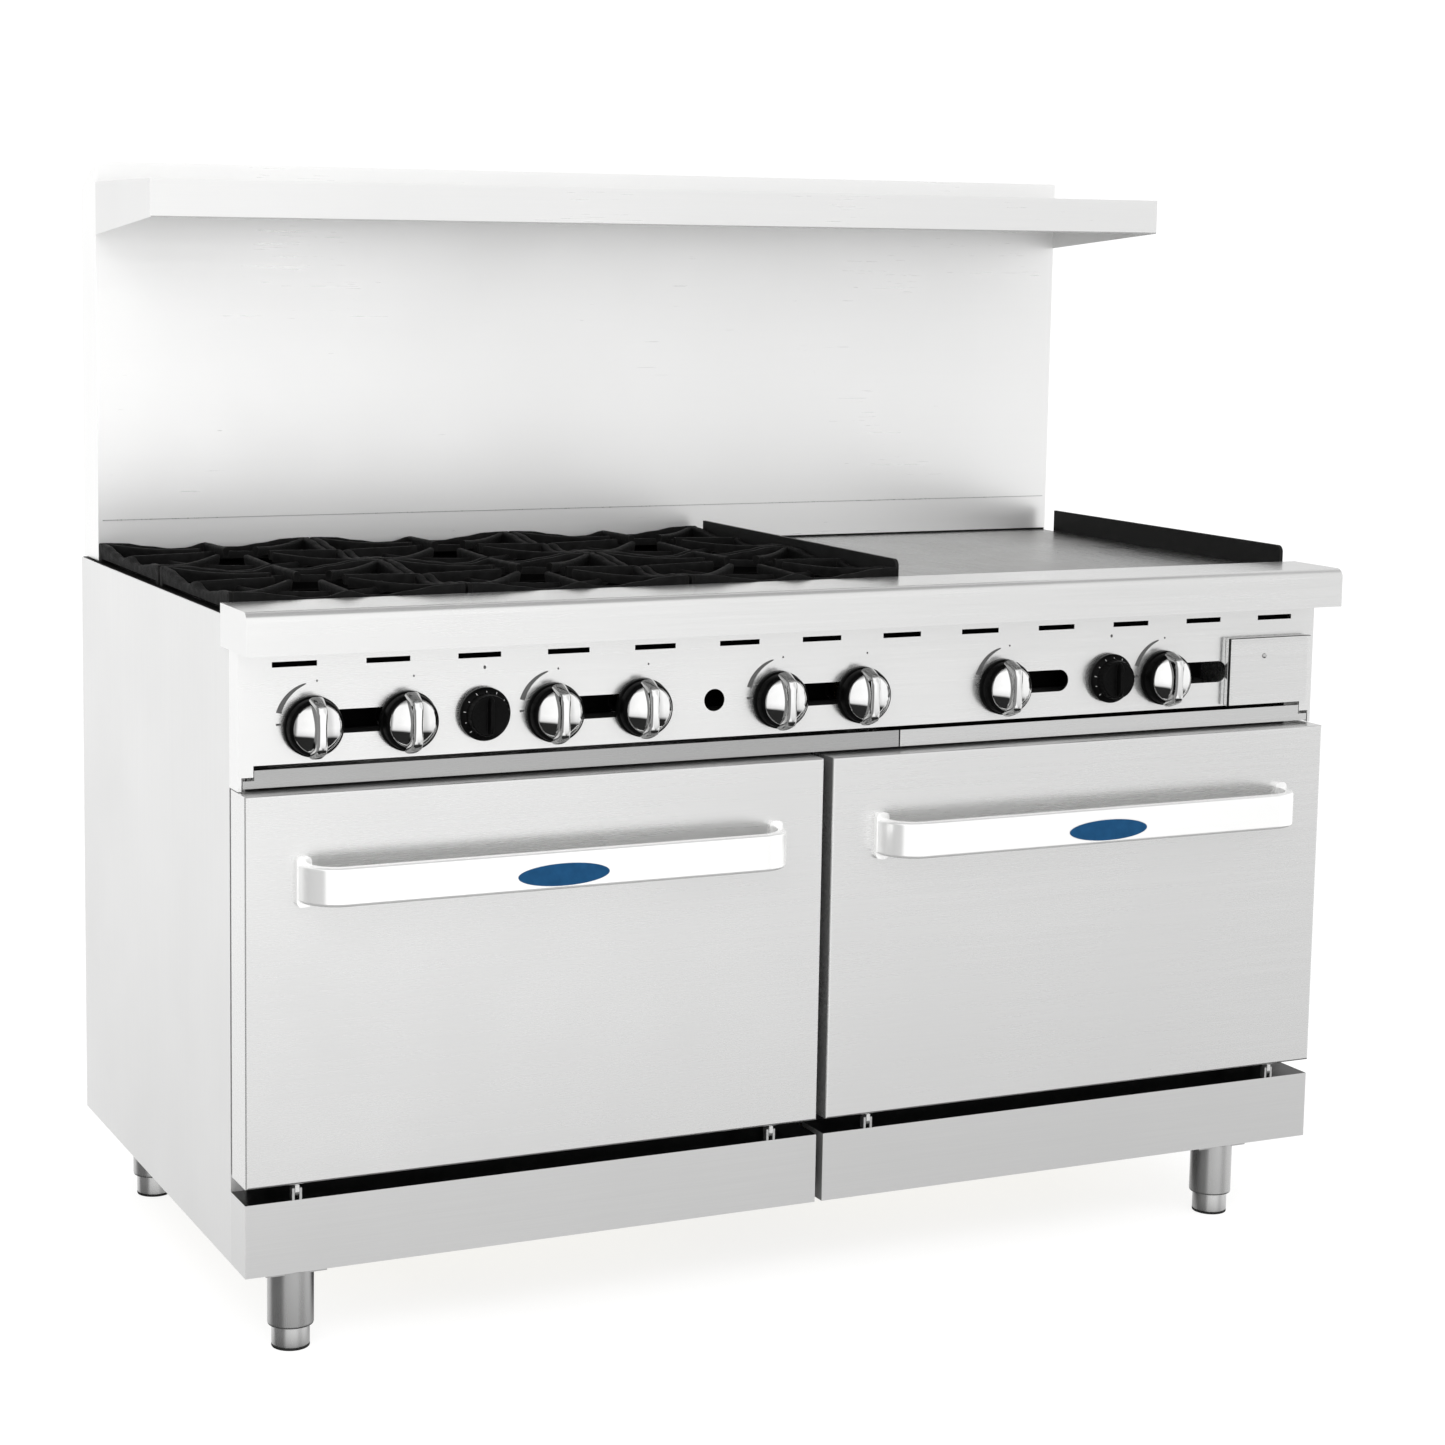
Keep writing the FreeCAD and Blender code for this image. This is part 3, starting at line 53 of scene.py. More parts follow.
class Nodes:
    """A short way to write a material's node tree."""

    def __init__(self, name):
        self.material = bpy.data.materials.new(name)
        self.material.use_nodes = True
        self.tree = self.material.node_tree
        self.tree.nodes.clear()
        self.output = self.add("ShaderNodeOutputMaterial")
        self.shader = self.add("ShaderNodeBsdfPrincipled")
        self.link(self.shader.outputs["BSDF"], self.output.inputs["Surface"])
        self.place = self.add("ShaderNodeTexCoord").outputs["Object"]

    def add(self, kind, **settings):
        node = self.tree.nodes.new(kind)
        for key, value in settings.items():
            setattr(node, key, value)
        return node

    def link(self, start, end):
        self.tree.links.new(start, end)

    def set(self, **values):
        """Constant values on the shader's sockets, with _ for a space."""
        for key, value in values.items():
            self.shader.inputs[key.replace("_", " ")].default_value = value

    def noise(self, scale, detail=2.0, stretch=(1, 1, 1), roughness=0.5):
        """Noise in object space, stretched along an axis where stretch is small."""
        mapping = self.add("ShaderNodeMapping")
        mapping.inputs["Scale"].default_value = stretch
        self.link(self.place, mapping.inputs["Vector"])
        noise = self.add("ShaderNodeTexNoise")
        noise.inputs["Scale"].default_value = scale
        noise.inputs["Detail"].default_value = detail
        noise.inputs["Roughness"].default_value = roughness
        self.link(mapping.outputs["Vector"], noise.inputs["Vector"])
        return noise.outputs["Fac"]

    def spread(self, value, low, high, start=0.3, end=0.7):
        """A value moved from the range start to end to the range low to high."""
        node = self.add("ShaderNodeMapRange")
        for socket, number in (("From Min", start), ("From Max", end), ("To Min", low), ("To Max", high)):
            node.inputs[socket].default_value = number
        self.link(value, node.inputs["Value"])
        return node.outputs["Result"]

    def math(self, operation, first, second):
        node = self.add("ShaderNodeMath", operation=operation)
        for socket, value in zip(node.inputs, (first, second)):
            if isinstance(value, (int, float)):
                socket.default_value = value
            else:
                self.link(value, socket)
        return node.outputs["Value"]

    def blend(self, factor, first, second):
        """A mix of two colours, each a colour or a socket."""
        node = self.add("ShaderNodeMix", data_type="RGBA")
        self.link(factor, node.inputs["Factor"])
        for number, value in ((FIRST_COLOUR, first), (SECOND_COLOUR, second)):
            if isinstance(value, tuple):
                node.inputs[number].default_value = value + (1,)
            else:
                self.link(value, node.inputs[number])
        return node.outputs[MIXED_COLOUR]

    def colour(self, value):
        self.link(value, self.shader.inputs["Base Color"])

    def roughness(self, value):
        self.link(value, self.shader.inputs["Roughness"])

    def bump(self, height, distance):
        """Relief up to a distance in metres."""
        node = self.add("ShaderNodeBump")
        node.inputs["Distance"].default_value = distance
        node.inputs["Strength"].default_value = 1.0
        self.link(height, node.inputs["Height"])
        self.link(node.outputs["Normal"], self.shader.inputs["Normal"])

    def edges(self, radius=0.004):
        """About 1 on sharp outer edges and 0 elsewhere."""
        bevel = self.add("ShaderNodeBevel", samples=4)
        bevel.inputs["Radius"].default_value = radius
        geometry = self.add("ShaderNodeNewGeometry")
        dot = self.add("ShaderNodeVectorMath", operation="DOT_PRODUCT")
        self.link(bevel.outputs["Normal"], dot.inputs[0])
        self.link(geometry.outputs["Normal"], dot.inputs[1])
        return self.spread(dot.outputs["Value"], 1.0, 0.0, 0.75, 0.98)


def grey(value):
    return (value, value, value * 0.995)


# ---- materials ----

# How noise is stretched for a brushed grain along each axis.
GRAIN = {"X": (0.012, 1, 1), "Z": (1, 1, 0.012)}


def steel(name, tone, rough, grain, streak=0.04, metal=1.0, shade_on_top=False):
    """Brushed stainless: fine streaks along one axis, faint smudges, and sharp edges brightened as a
    painted highlight.

    With shade_on_top the faces that look straight up are darkened to near black as painted shade.
    """
    m = Nodes(name)
    fine = m.noise(900, 3.0, GRAIN[grain], 0.65)
    coarse = m.noise(160, 2.0, GRAIN[grain])
    smudge = m.noise(3.2, 4.0, (1, 1, 1), 0.6)
    line = m.math("ADD", m.math("MULTIPLY", fine, 0.65), m.math("MULTIPLY", coarse, 0.35))
    shade = m.blend(m.spread(line, 0, 1, 0.35, 0.65), grey(tone * (1 - streak)),
                    grey(min(tone * (1 + streak / 3), 1)))
    cloud = m.blend(m.spread(smudge, 0, 0.5), shade, grey(tone * 0.97))
    # Painted highlight: sharp edges are brightened.
    wear_and_highlight = m.blend(m.math("MULTIPLY", m.edges(), 0.35), cloud, grey(min(tone * 1.08, 1)))
    # Painted shade: faces that look straight up are darkened to near black.
    if shade_on_top:
        facing = m.add("ShaderNodeSeparateXYZ")
        m.link(m.add("ShaderNodeNewGeometry").outputs["Normal"], facing.inputs["Vector"])
        wear_and_highlight = m.blend(m.spread(facing.outputs["Z"], 0, 1, 0.90, 0.99), wear_and_highlight, grey(0.012))
    m.colour(wear_and_highlight)
    m.set(Metallic=metal)
    body = m.math("ADD", m.spread(line, rough - 0.03, rough + 0.04, 0.3, 0.7),
                  m.spread(smudge, -0.02, 0.03))
    m.roughness(body)
    m.bump(line, 0.000009)
    return m.material


def chrome():
    """Bright plating with a faint haze and a slight ripple."""
    m = Nodes("chrome_plate")
    m.set(Metallic=1.0)
    haze = m.noise(60, 3.0)
    m.colour(m.blend(m.spread(haze, 0, 1), grey(0.86), grey(0.92)))
    m.roughness(m.spread(haze, 0.04, 0.08))
    m.bump(m.noise(35, 1.0), 0.00006)
    return m.material


def cast_iron():
    """Black cast iron: a pitted skin, a dull sheen, and paler top edges from wear."""
    m = Nodes("cast_iron")
    pits = m.noise(900, 4.0, roughness=0.7)
    lumps = m.noise(90, 3.0)
    base = m.blend(m.spread(lumps, 0, 1), (0.004, 0.004, 0.004), (0.009, 0.009, 0.009))
    wear_and_highlight = m.blend(m.math("MULTIPLY", m.edges(0.003), 0.5), base, (0.020, 0.019, 0.018))
    m.colour(wear_and_highlight)
    m.set(Metallic=0.0, Specular_IOR_Level=0.05)
    m.roughness(m.spread(lumps, 0.50, 0.68))
    height = m.math("ADD", m.math("MULTIPLY", pits, 0.4), m.math("MULTIPLY", lumps, 0.6))
    m.bump(height, 0.0008)
    return m.material


def enamel():
    """Black porcelain enamel with pale flecks."""
    m = Nodes("oven_enamel")
    specks = m.spread(m.noise(700, 1.0), 0, 1, 0.66, 0.70)
    m.colour(m.blend(specks, (0.004, 0.004, 0.005), (0.12, 0.125, 0.14)))
    m.roughness(m.spread(m.noise(18, 3.0), 0.17, 0.32))
    m.set(Coat_Weight=0.15, Coat_Roughness=0.12, Specular_IOR_Level=0.3)
    m.bump(m.noise(120, 2.0), 0.0002)
    return m.material


def phenolic():
    """Black moulded phenolic: fine mottling, rubbed edges."""
    m = Nodes("knob_black")
    mottle = m.noise(260, 3.0)
    body = m.blend(m.spread(mottle, 0, 1), (0.0015, 0.0015, 0.0015), (0.00295, 0.00295, 0.00295))
    m.colour(m.blend(m.math("MULTIPLY", m.edges(0.0015), 0.4), body, (0.018, 0.018, 0.018)))
    m.roughness(m.spread(mottle, 0.27, 0.40))
    m.set(Specular_IOR_Level=0.06)
    m.bump(mottle, 0.00008)
    return m.material


def black_coat(name, base=0.007, rough=0.42, shine=0.10):
    """Black heat-proof coating on steel, slightly scuffed along its edges."""
    m = Nodes(name)
    cloud = m.noise(30, 4.0)
    body = m.blend(m.spread(cloud, 0, 1), grey(base), grey(base * 1.7))
    m.colour(m.blend(m.math("MULTIPLY", m.edges(), 0.4), body, grey(0.03)))
    m.roughness(m.spread(cloud, rough - 0.06, rough + 0.12))
    m.set(Specular_IOR_Level=shine)
    m.bump(m.noise(500, 2.0), 0.0001)
    return m.material


def galvanised():
    """Zinc-coated sheet with its large crystal flakes."""
    m = Nodes("galvanised")
    flakes = m.add("ShaderNodeTexVoronoi")
    flakes.inputs["Scale"].default_value = 60
    m.link(m.place, flakes.inputs["Vector"])
    tone = m.add("ShaderNodeSeparateColor")
    m.link(flakes.outputs["Color"], tone.inputs["Color"])
    m.colour(m.blend(m.spread(tone.outputs["Red"], 0, 1, 0, 1), grey(0.50), grey(0.62)))
    m.set(Metallic=0.9)
    m.roughness(m.spread(tone.outputs["Green"], 0.38, 0.55, 0, 1))
    m.bump(m.noise(200, 2.0), 0.00008)
    return m.material


def wool():
    """Yellow mineral wool with its fibres."""
    m = Nodes("mineral_wool")
    fibres = m.noise(400, 5.0, (1, 0.2, 1), 0.75)
    m.colour(m.blend(m.spread(fibres, 0, 1), (0.42, 0.36, 0.20), (0.74, 0.68, 0.46)))
    m.set(Roughness=0.95, Sheen_Weight=0.3)
    m.bump(fibres, 0.002)
    return m.material


def brass():
    """Dark turned brass."""
    m = Nodes("valve_brass")
    turned = m.noise(500, 2.0, (1, 0.02, 1))
    m.colour(m.blend(m.spread(turned, 0, 1), (0.16, 0.11, 0.05), (0.26, 0.19, 0.09)))
    m.set(Metallic=1.0)
    m.roughness(m.spread(turned, 0.22, 0.4))
    m.bump(turned, 0.00006)
    return m.material


def badge_blue():
    """Glossy blue enamel under a clear dome."""
    m = Nodes("badge_blue")
    cloud = m.noise(90, 2.0)
    m.colour(m.blend(m.spread(cloud, 0, 1), (0.002, 0.042, 0.110), (0.004, 0.054, 0.140)))
    m.roughness(m.spread(cloud, 0.30, 0.38))
    m.set(Specular_IOR_Level=0.12, Coat_Weight=0.06, Coat_Roughness=0.1)
    m.bump(m.noise(40, 1.0), 0.00005)
    return m.material


def griddle():
    """Ground steel: fine grinding marks, faint round heat stains and oil sheen."""
    m = Nodes("griddle_steel")
    marks = m.noise(700, 3.0, (1, 0.02, 1), 0.6)
    stain = m.noise(5, 4.0, (1, 1, 1), 0.6)
    body = m.blend(m.spread(marks, 0, 1), grey(0.30), grey(0.38))
    m.colour(m.blend(m.spread(stain, 0, 0.6), body, (0.28, 0.275, 0.265)))
    m.set(Metallic=1.0)
    m.roughness(m.math("ADD", m.spread(marks, 0.20, 0.30), m.spread(stain, 0.0, 0.08)))
    m.bump(marks, 0.00005)
    return m.material


def ink():
    """Printed dark marks on the control panel."""
    m = Nodes("printed_ink")
    wear = m.noise(800, 2.0)
    m.colour(m.blend(m.spread(wear, 0, 1), grey(0.055), grey(0.11)))
    m.roughness(m.spread(wear, 0.45, 0.6))
    m.bump(wear, 0.00003)
    return m.material


def pale_print():
    """Printed pale marks on the dials."""
    m = Nodes("dial_print")
    wear = m.noise(600, 2.0)
    m.colour(m.blend(m.spread(wear, 0, 1), grey(0.30), grey(0.45)))
    m.set(Roughness=0.5)
    m.bump(wear, 0.00003)
    return m.material


# Steels are given by their tone, roughness and grain.
LOOKS = {
    "panel_x": steel("steel_panel_x", 0.81, 0.27, "X", metal=0.9),
    "panel_y": steel("steel_panel_y", 0.82, 0.36, "Z", metal=0.85),
    "front": steel("steel_front", 0.86, 0.24, "X", metal=0.88),
    "riser": steel("steel_riser", 0.92, 0.30, "X", streak=0.008, metal=0.72),
    "ledge": steel("steel_ledge", 0.82, 0.24, "X", metal=0.88),
    "shelf": steel("steel_shelf", 0.77, 0.30, "X", streak=0.02, metal=0.7),
    # The kick plate's top flange is darkened as painted shade.
    "kick": steel("steel_kick", 0.76, 0.32, "X", metal=0.9, shade_on_top=True),
    # The handles' near-white tone and diffuse share are a painted highlight of the bright front light.
    "handle": steel("steel_handle", 0.99, 0.18, "X", streak=0.01, metal=0.65),
    # The crumb trays are one steel: the left tray's dark tone is painted shade and the right tray's
    # bright tone is painted light.
    "tray": steel("steel_tray", 0.48, 0.26, "X"),
    "bright_tray": steel("steel_bright_tray", 0.74, 0.26, "X"),
    "leg": steel("steel_leg", 0.57, 0.28, "Z", streak=0.02, metal=0.95),
    "chrome": chrome(),
    "iron": cast_iron(),
    "enamel": enamel(),
    "wool": wool(),
    "zinc": galvanised(),
    "griddle": griddle(),
    "coat": black_coat("black_coat"),
    # A black coat, made darker and duller than the others as painted shade for the gaps it shows through.
    "shaded_black": black_coat("shaded_black_coat", base=0.002, rough=0.60, shine=0.02),
    "pipe": black_coat("black_pipe", base=0.012, rough=0.5),
    "brass": brass(),
    "blue": badge_blue(),
    "knob_black": phenolic(),
    "ink": ink(),
    "print": pale_print(),
}

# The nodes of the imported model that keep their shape, by look.
NODE_LOOKS = {
    "front": ("control_panel",),
    "panel_x": ("door_panel_left", "door_panel_right", "grease_drawer", "door_hinges_left",
                "door_hinges_right"),
    "shelf": ("high_shelf",),
    "kick": ("kick_plate_left", "kick_plate_right"),
    "panel_y": ("side_panel_left", "side_panel_right"),
    "riser": ("riser",),
    "ledge": ("front_ledge",),
    "handle": ("door_handle_left", "door_handle_right"),
    # The two crumb trays take a painted-shade tone and a painted-light tone of one steel.
    "tray": ("crumb_tray_left",),
    "bright_tray": ("crumb_tray_right",),
    "leg": ("legs", "foot_front_left", "foot_front_right", "foot_rear_left", "foot_rear_right",
            "hinge_pins"),
    "chrome": ("oven_rack_left", "oven_rack_right"),
    "iron": ("open_burners",),
    "enamel": ("oven_liner_left", "oven_liner_right", "oven_decks"),
    "wool": ("oven_insulation", "door_insulation_left", "door_insulation_right"),
    "zinc": ("back_panel", "door_liner_left", "door_liner_right"),
    "griddle": ("griddle_plate",),
    "coat": ("griddle_splashes", "tube_burners"),
    # The burner box and base frame wear the black coat darkened as painted shade.
    "shaded_black": ("burner_box", "base_frame"),
    "pipe": ("gas_manifold",),
    "brass": ("gas_valves",),
    "blue": ("handle_badge_left", "handle_badge_right"),
    "knob_black": ("oven_dial_left", "oven_dial_right"),
}


def dress(thing, look):
    """Give an object one material in every slot."""
    mesh = thing.data
    if not mesh.materials:
        mesh.materials.append(LOOKS[look])
    for index in range(len(mesh.materials)):
        mesh.materials[index] = LOOKS[look]


for look, names in NODE_LOOKS.items():
    for name in names:
        dress(nodes[name], look)


# ---- mesh helpers ----

def piece(name, shape, body, looks, smooth=35):
    """Turn a bmesh into a piece that rides on a body; looks gives its materials in order."""
    mesh = bpy.data.meshes.new(name)
    bmesh.ops.recalc_face_normals(shape, faces=shape.faces)
    limit = math.radians(smooth)
    for face in shape.faces:
        face.smooth = True
    for edge in shape.edges:
        edge.smooth = len(edge.link_faces) == 2 and edge.calc_face_angle(0) < limit
    shape.to_mesh(mesh)
    shape.free()
    for look in looks:
        mesh.materials.append(LOOKS[look])
    thing = bpy.data.objects.new(name, mesh)
    bpy.context.scene.collection.objects.link(thing)
    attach(thing, body)
    return thing


def loft(shape, rings, closed=False, material=0):
    """Faces between rings of points, with end caps unless the last ring joins the first."""
    rows = [[shape.verts.new(point) for point in ring] for ring in rings]
    count = len(rows[0])
    pairs = list(zip(rows, rows[1:]))
    if closed:
        pairs.append((rows[-1], rows[0]))
    for first, second in pairs:
        for index in range(count):
            following = (index + 1) % count
            quad = (first[index], first[following], second[following], second[index])
            face = shape.faces.new(quad)
            face.material_index = material
    if not closed:
        for row in (rows[0], rows[-1]):
            face = shape.faces.new(row)
            face.material_index = material


def angles(count):
    """Evenly spaced angles once round a circle."""
    return [2 * math.pi * index / count for index in range(count)]


def facing_front(centre, radius, angle, forward):
    """A point at an angle and radius about a centre, and a distance forward, towards -Y."""
    return centre + Vector((radius * math.cos(angle), -forward, radius * math.sin(angle)))


def facing_up(centre, radius, angle, height):
    """A point at an angle and radius about an upright axis, at a height."""
    return Vector((centre.x + radius * math.cos(angle), centre.y + radius * math.sin(angle), height))


def turned(shape, profile, centre, material):
    """A solid of revolution about an axis towards -Y; profile is (radius, distance forward)."""
    rings = [[facing_front(centre, radius, angle, forward) for angle in angles(64)]
             for radius, forward in profile]
    loft(shape, rings, material=material)


def middle_of(name):
    low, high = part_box(name)
    return (low + high) / 2


def back_of(name):
    """The middle of a control's back face, which lies on the panel."""
    centre = middle_of(name)
    centre.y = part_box(name)[1].y
    return centre


# ---- knobs and dials ----

# The radius and the distance forward of a knob's two turned parts.
KNOB_BASE = ((0.0352, 0.0), (0.0362, 0.001), (0.0362, 0.0060), (0.0356, 0.0070), (0.0344, 0.0084),
             (0.0338, 0.0164), (0.0330, 0.0184), (0.0316, 0.0204), (0.0302, 0.0214), (0.0280, 0.0214))
KNOB_DOME = ((0.0292, 0.0206), (0.0298, 0.0214), (0.0295, 0.0222), (0.0288, 0.0228), (0.0265, 0.0244),
             (0.0235, 0.0261), (0.0200, 0.0277), (0.0160, 0.0291), (0.0115, 0.0302),
             (0.0070, 0.0308), (0.0025, 0.0311))

# How far along its reach each ring of a grip lies, and its thickness there.
GRIP_DRAFT = ((0.40, 1.42), (0.60, 1.24), (0.78, 1.06), (0.90, 0.93), (0.96, 0.80), (1.0, 0.52))

# A dial's radius, distance forward and share of the full flute depth.
DIAL_BODY = ((0.0318, 0.0, 0), (0.0325, 0.001, 0), (0.0325, 0.0060, 0), (0.0300, 0.0088, 0),
             (0.0262, 0.0105, 0), (0.0258, 0.0120, 0.3), (0.0252, 0.0205, 0.9),
             (0.0246, 0.0222, 0.3), (0.0232, 0.0232, 0), (0.0120, 0.0226, 0))
FLUTES = 30
FLUTE_DEPTH = 0.0006
SKIRT_OUTER, SKIRT_BACK = DIAL_BODY[3][:2]
SKIRT_INNER, SKIRT_FRONT = DIAL_BODY[4][:2]

# The marks printed round a dial's sloping skirt; their angles are in degrees.
TEMPERATURES = 11
TEMPERATURE_START = 225
TEMPERATURE_STEP = 27
TEMPERATURE_INNER = 0.0270
TEMPERATURE_LONG = 0.0296
TEMPERATURE_SHORT = 0.0286
TEMPERATURE_HALF_WIDTH = 0.00045
PRINT_HEIGHT = 0.00015


def knob_grip(shape, centre, half_height, reach, waist, end, material=0):
    """The upright grip: waisted in the middle, flaring to round ends, with a domed front."""
    rings = []
    for depth, share in GRIP_DRAFT:
        ring = []
        for angle in angles(48):
            aside, up = math.cos(angle), math.sin(angle)
            width = waist + (end - waist) * abs(up) ** 1.6
            across = math.copysign(abs(aside) ** 0.55, aside) * width * share
            height = math.copysign(abs(up) ** 0.8, up) * half_height * (0.5 + 0.5 * share)
            ring.append(centre + Vector((across, -depth * reach, height)))
        rings.append(ring)
    loft(shape, rings, material=material)


def gas_knob(name, body):
    """A black base ring, a chrome dome and a chrome grip across it."""
    centre = back_of(name)
    black, bright = 0, 1
    shape = bmesh.new()
    turned(shape, KNOB_BASE, centre, black)
    turned(shape, KNOB_DOME, centre, bright)
    knob_grip(shape, centre, half_height=0.0305, reach=0.0400, waist=0.0066, end=0.0104, material=bright)
    knob = piece(name + "_detail", shape, body, ("knob_black", "chrome"))
    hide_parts(name)


def temperature_mark(shape, centre, number):
    """A pale mark printed on the sloping skirt of a dial; every second one is longer."""
    angle = math.radians(TEMPERATURE_START - TEMPERATURE_STEP * number)
    across = Vector((-math.sin(angle), 0, math.cos(angle))) * TEMPERATURE_HALF_WIDTH
    inner = TEMPERATURE_INNER
    outer = TEMPERATURE_SHORT if number % 2 else TEMPERATURE_LONG
    corners = []
    for radius, side in ((inner, -1), (outer, -1), (outer, 1), (inner, 1)):
        share = (SKIRT_OUTER - radius) / (SKIRT_OUTER - SKIRT_INNER)
        forward = SKIRT_BACK + share * (SKIRT_FRONT - SKIRT_BACK) + PRINT_HEIGHT
        corners.append(shape.verts.new(facing_front(centre, radius, angle, forward) + across * side))
    shape.faces.new(corners).material_index = 1


def oven_dial(name, body):
    """A black dial: fluted rim, dished top, a thin grip and pale temperature marks."""
    centre = back_of(name)
    shape = bmesh.new()
    rings = []
    for radius, forward, flute in DIAL_BODY:
        ring = []
        for angle in angles(FLUTES * 4):
            dent = FLUTE_DEPTH * flute * (1 + math.cos(angle * FLUTES)) / 2
            ring.append(facing_front(centre, radius - dent, angle, forward))
        rings.append(ring)
    loft(shape, rings)
    grip_foot = centre + Vector((0, 0.0066, 0))
    knob_grip(shape, grip_foot, half_height=0.0228, reach=0.0374, waist=0.0036, end=0.0046)
    for number in range(TEMPERATURES):
        temperature_mark(shape, centre, number)
    dial = piece(name + "_detail", shape, body, ("knob_black", "print"))
    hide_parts(name)


for number in range(1, 7):
    gas_knob("burner_knob_%d" % number, "knob_%d" % number)
for side in SIDES:
    gas_knob("griddle_knob_" + side, "knob_griddle_" + side)
    oven_dial("oven_dial_" + side, "dial_" + side)


# ---- grates ----

# The height of a grate's rim along half a side: tall at the corner, a dip, a bump in the middle.
RIM_HEIGHTS = ((0.0, 0.0245), (0.10, 0.0235), (0.22, 0.0185), (0.33, 0.0145), (0.42, 0.0150),
               (0.46, 0.0195), (0.50, 0.0215))
GRATE_TOP = RIM_HEIGHTS[0][1]
SIDE_TOP = RIM_HEIGHTS[-1][1]

# Heights are from the grate's foot; a finger's end is a share of the way out from the centre.
FINGER_BOTTOM = 0.006
RIM_BOTTOM = 0.004
RIM_WIDTH = 0.011
RIM_INSET = 0.006
FOOT_INSET = 0.003
FOOT_HALF_LENGTH = 0.008
FOOT_WIDTH = 0.015
CORNER_FINGER_WIDTH = 0.0095
CORNER_FINGER_END = 0.27
SIDE_FINGER_WIDTH = 0.0090
SIDE_FINGER_END = 0.32
BOWL_RADIUS = 0.092
BOWL_WIDTH = 0.009
BOWL_TOP = 0.0145


def bar(shape, start, end, width, levels, steps):
    """A cast bar between two (x, y) points: levels(share) gives its bottom and top height."""
    start, end = Vector(start + (0,)), Vector(end + (0,))
    run = end - start
    side = Vector((-run.y, run.x, 0)).normalized()
    rings = []
    for step in range(steps + 1):
        share = step / steps
        low, high = levels(share)
        middle = start + run * share
        half = width / 2
        soft = min(width * 0.32, (high - low) * 0.4)
        outline = ((-half * 0.75, low), (half * 0.75, low), (half, high - soft),
                   (half - soft * 0.3, high - soft * 0.3), (half - soft, high),
                   (-half + soft, high), (-half + soft * 0.3, high - soft * 0.3), (-half, high - soft))
        rings.append([Vector((middle.x, middle.y, height)) + side * across for across, height in outline])
    loft(shape, rings)


def ring_bar(shape, centre, radius, width, low, high):
    """A cast ring with a rounded top."""
    half = width / 2
    soft = width * 0.3
    outline = ((-half, low), (half, low), (half, high - soft), (half - soft, high),
               (-half + soft, high), (-half, high - soft))
    rings = [[facing_up(centre, radius + across, angle, height) for across, height in outline]
             for angle in angles(64)]
    loft(shape, rings, closed=True)


def rim_height(share):
    """The rim's height at a share of a side, eased between the values in RIM_HEIGHTS."""
    share = min(share, 1 - share)
    for (first, low), (second, high) in zip(RIM_HEIGHTS, RIM_HEIGHTS[1:]):
        if share <= second:
            mix = (share - first) / (second - first)
            mix = mix * mix * (3 - 2 * mix)
            return low + (high - low) * mix
    return SIDE_TOP


def grate(name, body):
    """A cast grate: a dipping rim on four feet, eight fingers and a bowl ring."""
    low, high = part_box(name)
    base = low.z
    corners = [(low.x + RIM_INSET, low.y + RIM_INSET), (high.x - RIM_INSET, low.y + RIM_INSET),
               (high.x - RIM_INSET, high.y - RIM_INSET), (low.x + RIM_INSET, high.y - RIM_INSET)]
    centre = (low + high) / 2

    def inward(x, y, share):
        """A point at a share of the way out from the centre towards (x, y)."""
        return (centre.x + (x - centre.x) * share, centre.y + (y - centre.y) * share)

    def rim(share):
        return base + RIM_BOTTOM, base + rim_height(share)

    def foot(_share):
        return base, base + GRATE_TOP

    def corner_finger(share):
        sag = 0.004 * math.sin(math.pi * share)
        return base + FINGER_BOTTOM + 0.006 * share, base + GRATE_TOP - sag

    def side_finger(share):
        return base + FINGER_BOTTOM + 0.005 * share, base + SIDE_TOP + 0.002 * share

    shape = bmesh.new()
    for index, corner in enumerate(corners):
        following = corners[(index + 1) % 4]
        bar(shape, corner, following, RIM_WIDTH, rim, 32)
        foot_x = corner[0] + math.copysign(FOOT_INSET, centre.x - corner[0])
        foot_y = corner[1] + math.copysign(FOOT_INSET, centre.y - corner[1])
        bar(shape, (foot_x - FOOT_HALF_LENGTH, foot_y), (foot_x + FOOT_HALF_LENGTH, foot_y),
            FOOT_WIDTH, foot, 2)
        bar(shape, corner, inward(*corner, CORNER_FINGER_END), CORNER_FINGER_WIDTH, corner_finger, 12)
        side = ((corner[0] + following[0]) / 2, (corner[1] + following[1]) / 2)
        bar(shape, side, inward(*side, SIDE_FINGER_END), SIDE_FINGER_WIDTH, side_finger, 10)
    ring_bar(shape, centre, BOWL_RADIUS, BOWL_WIDTH, base + FINGER_BOTTOM, base + BOWL_TOP)
    made = piece(name + "_detail", shape, body, ("iron",), 50)
    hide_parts(name)


for along in ("front", "rear"):
    for across in ("left", "centre", "right"):
        grate("grate_%s_%s" % (along, across), "lift_%s_%s" % (along, across))


# ---- burner heads ----

# A cap's radius, its height from the burner's top, and whether the flame ports are cut there.
CAP_PROFILE = ((0.0462, -0.0215, False), (0.0466, -0.0205, False), (0.0466, -0.0165, False),
               (0.0466, -0.0155, True), (0.0466, -0.0110, True), (0.0462, -0.0095, False),
               (0.0430, -0.0078, False), (0.0350, -0.0070, False), (0.0345, 0.0, False),
               (0.0320, 0.0018, False), (0.0150, 0.0026, False))
PORTS = 36
PORT_DEPTH = 0.0022


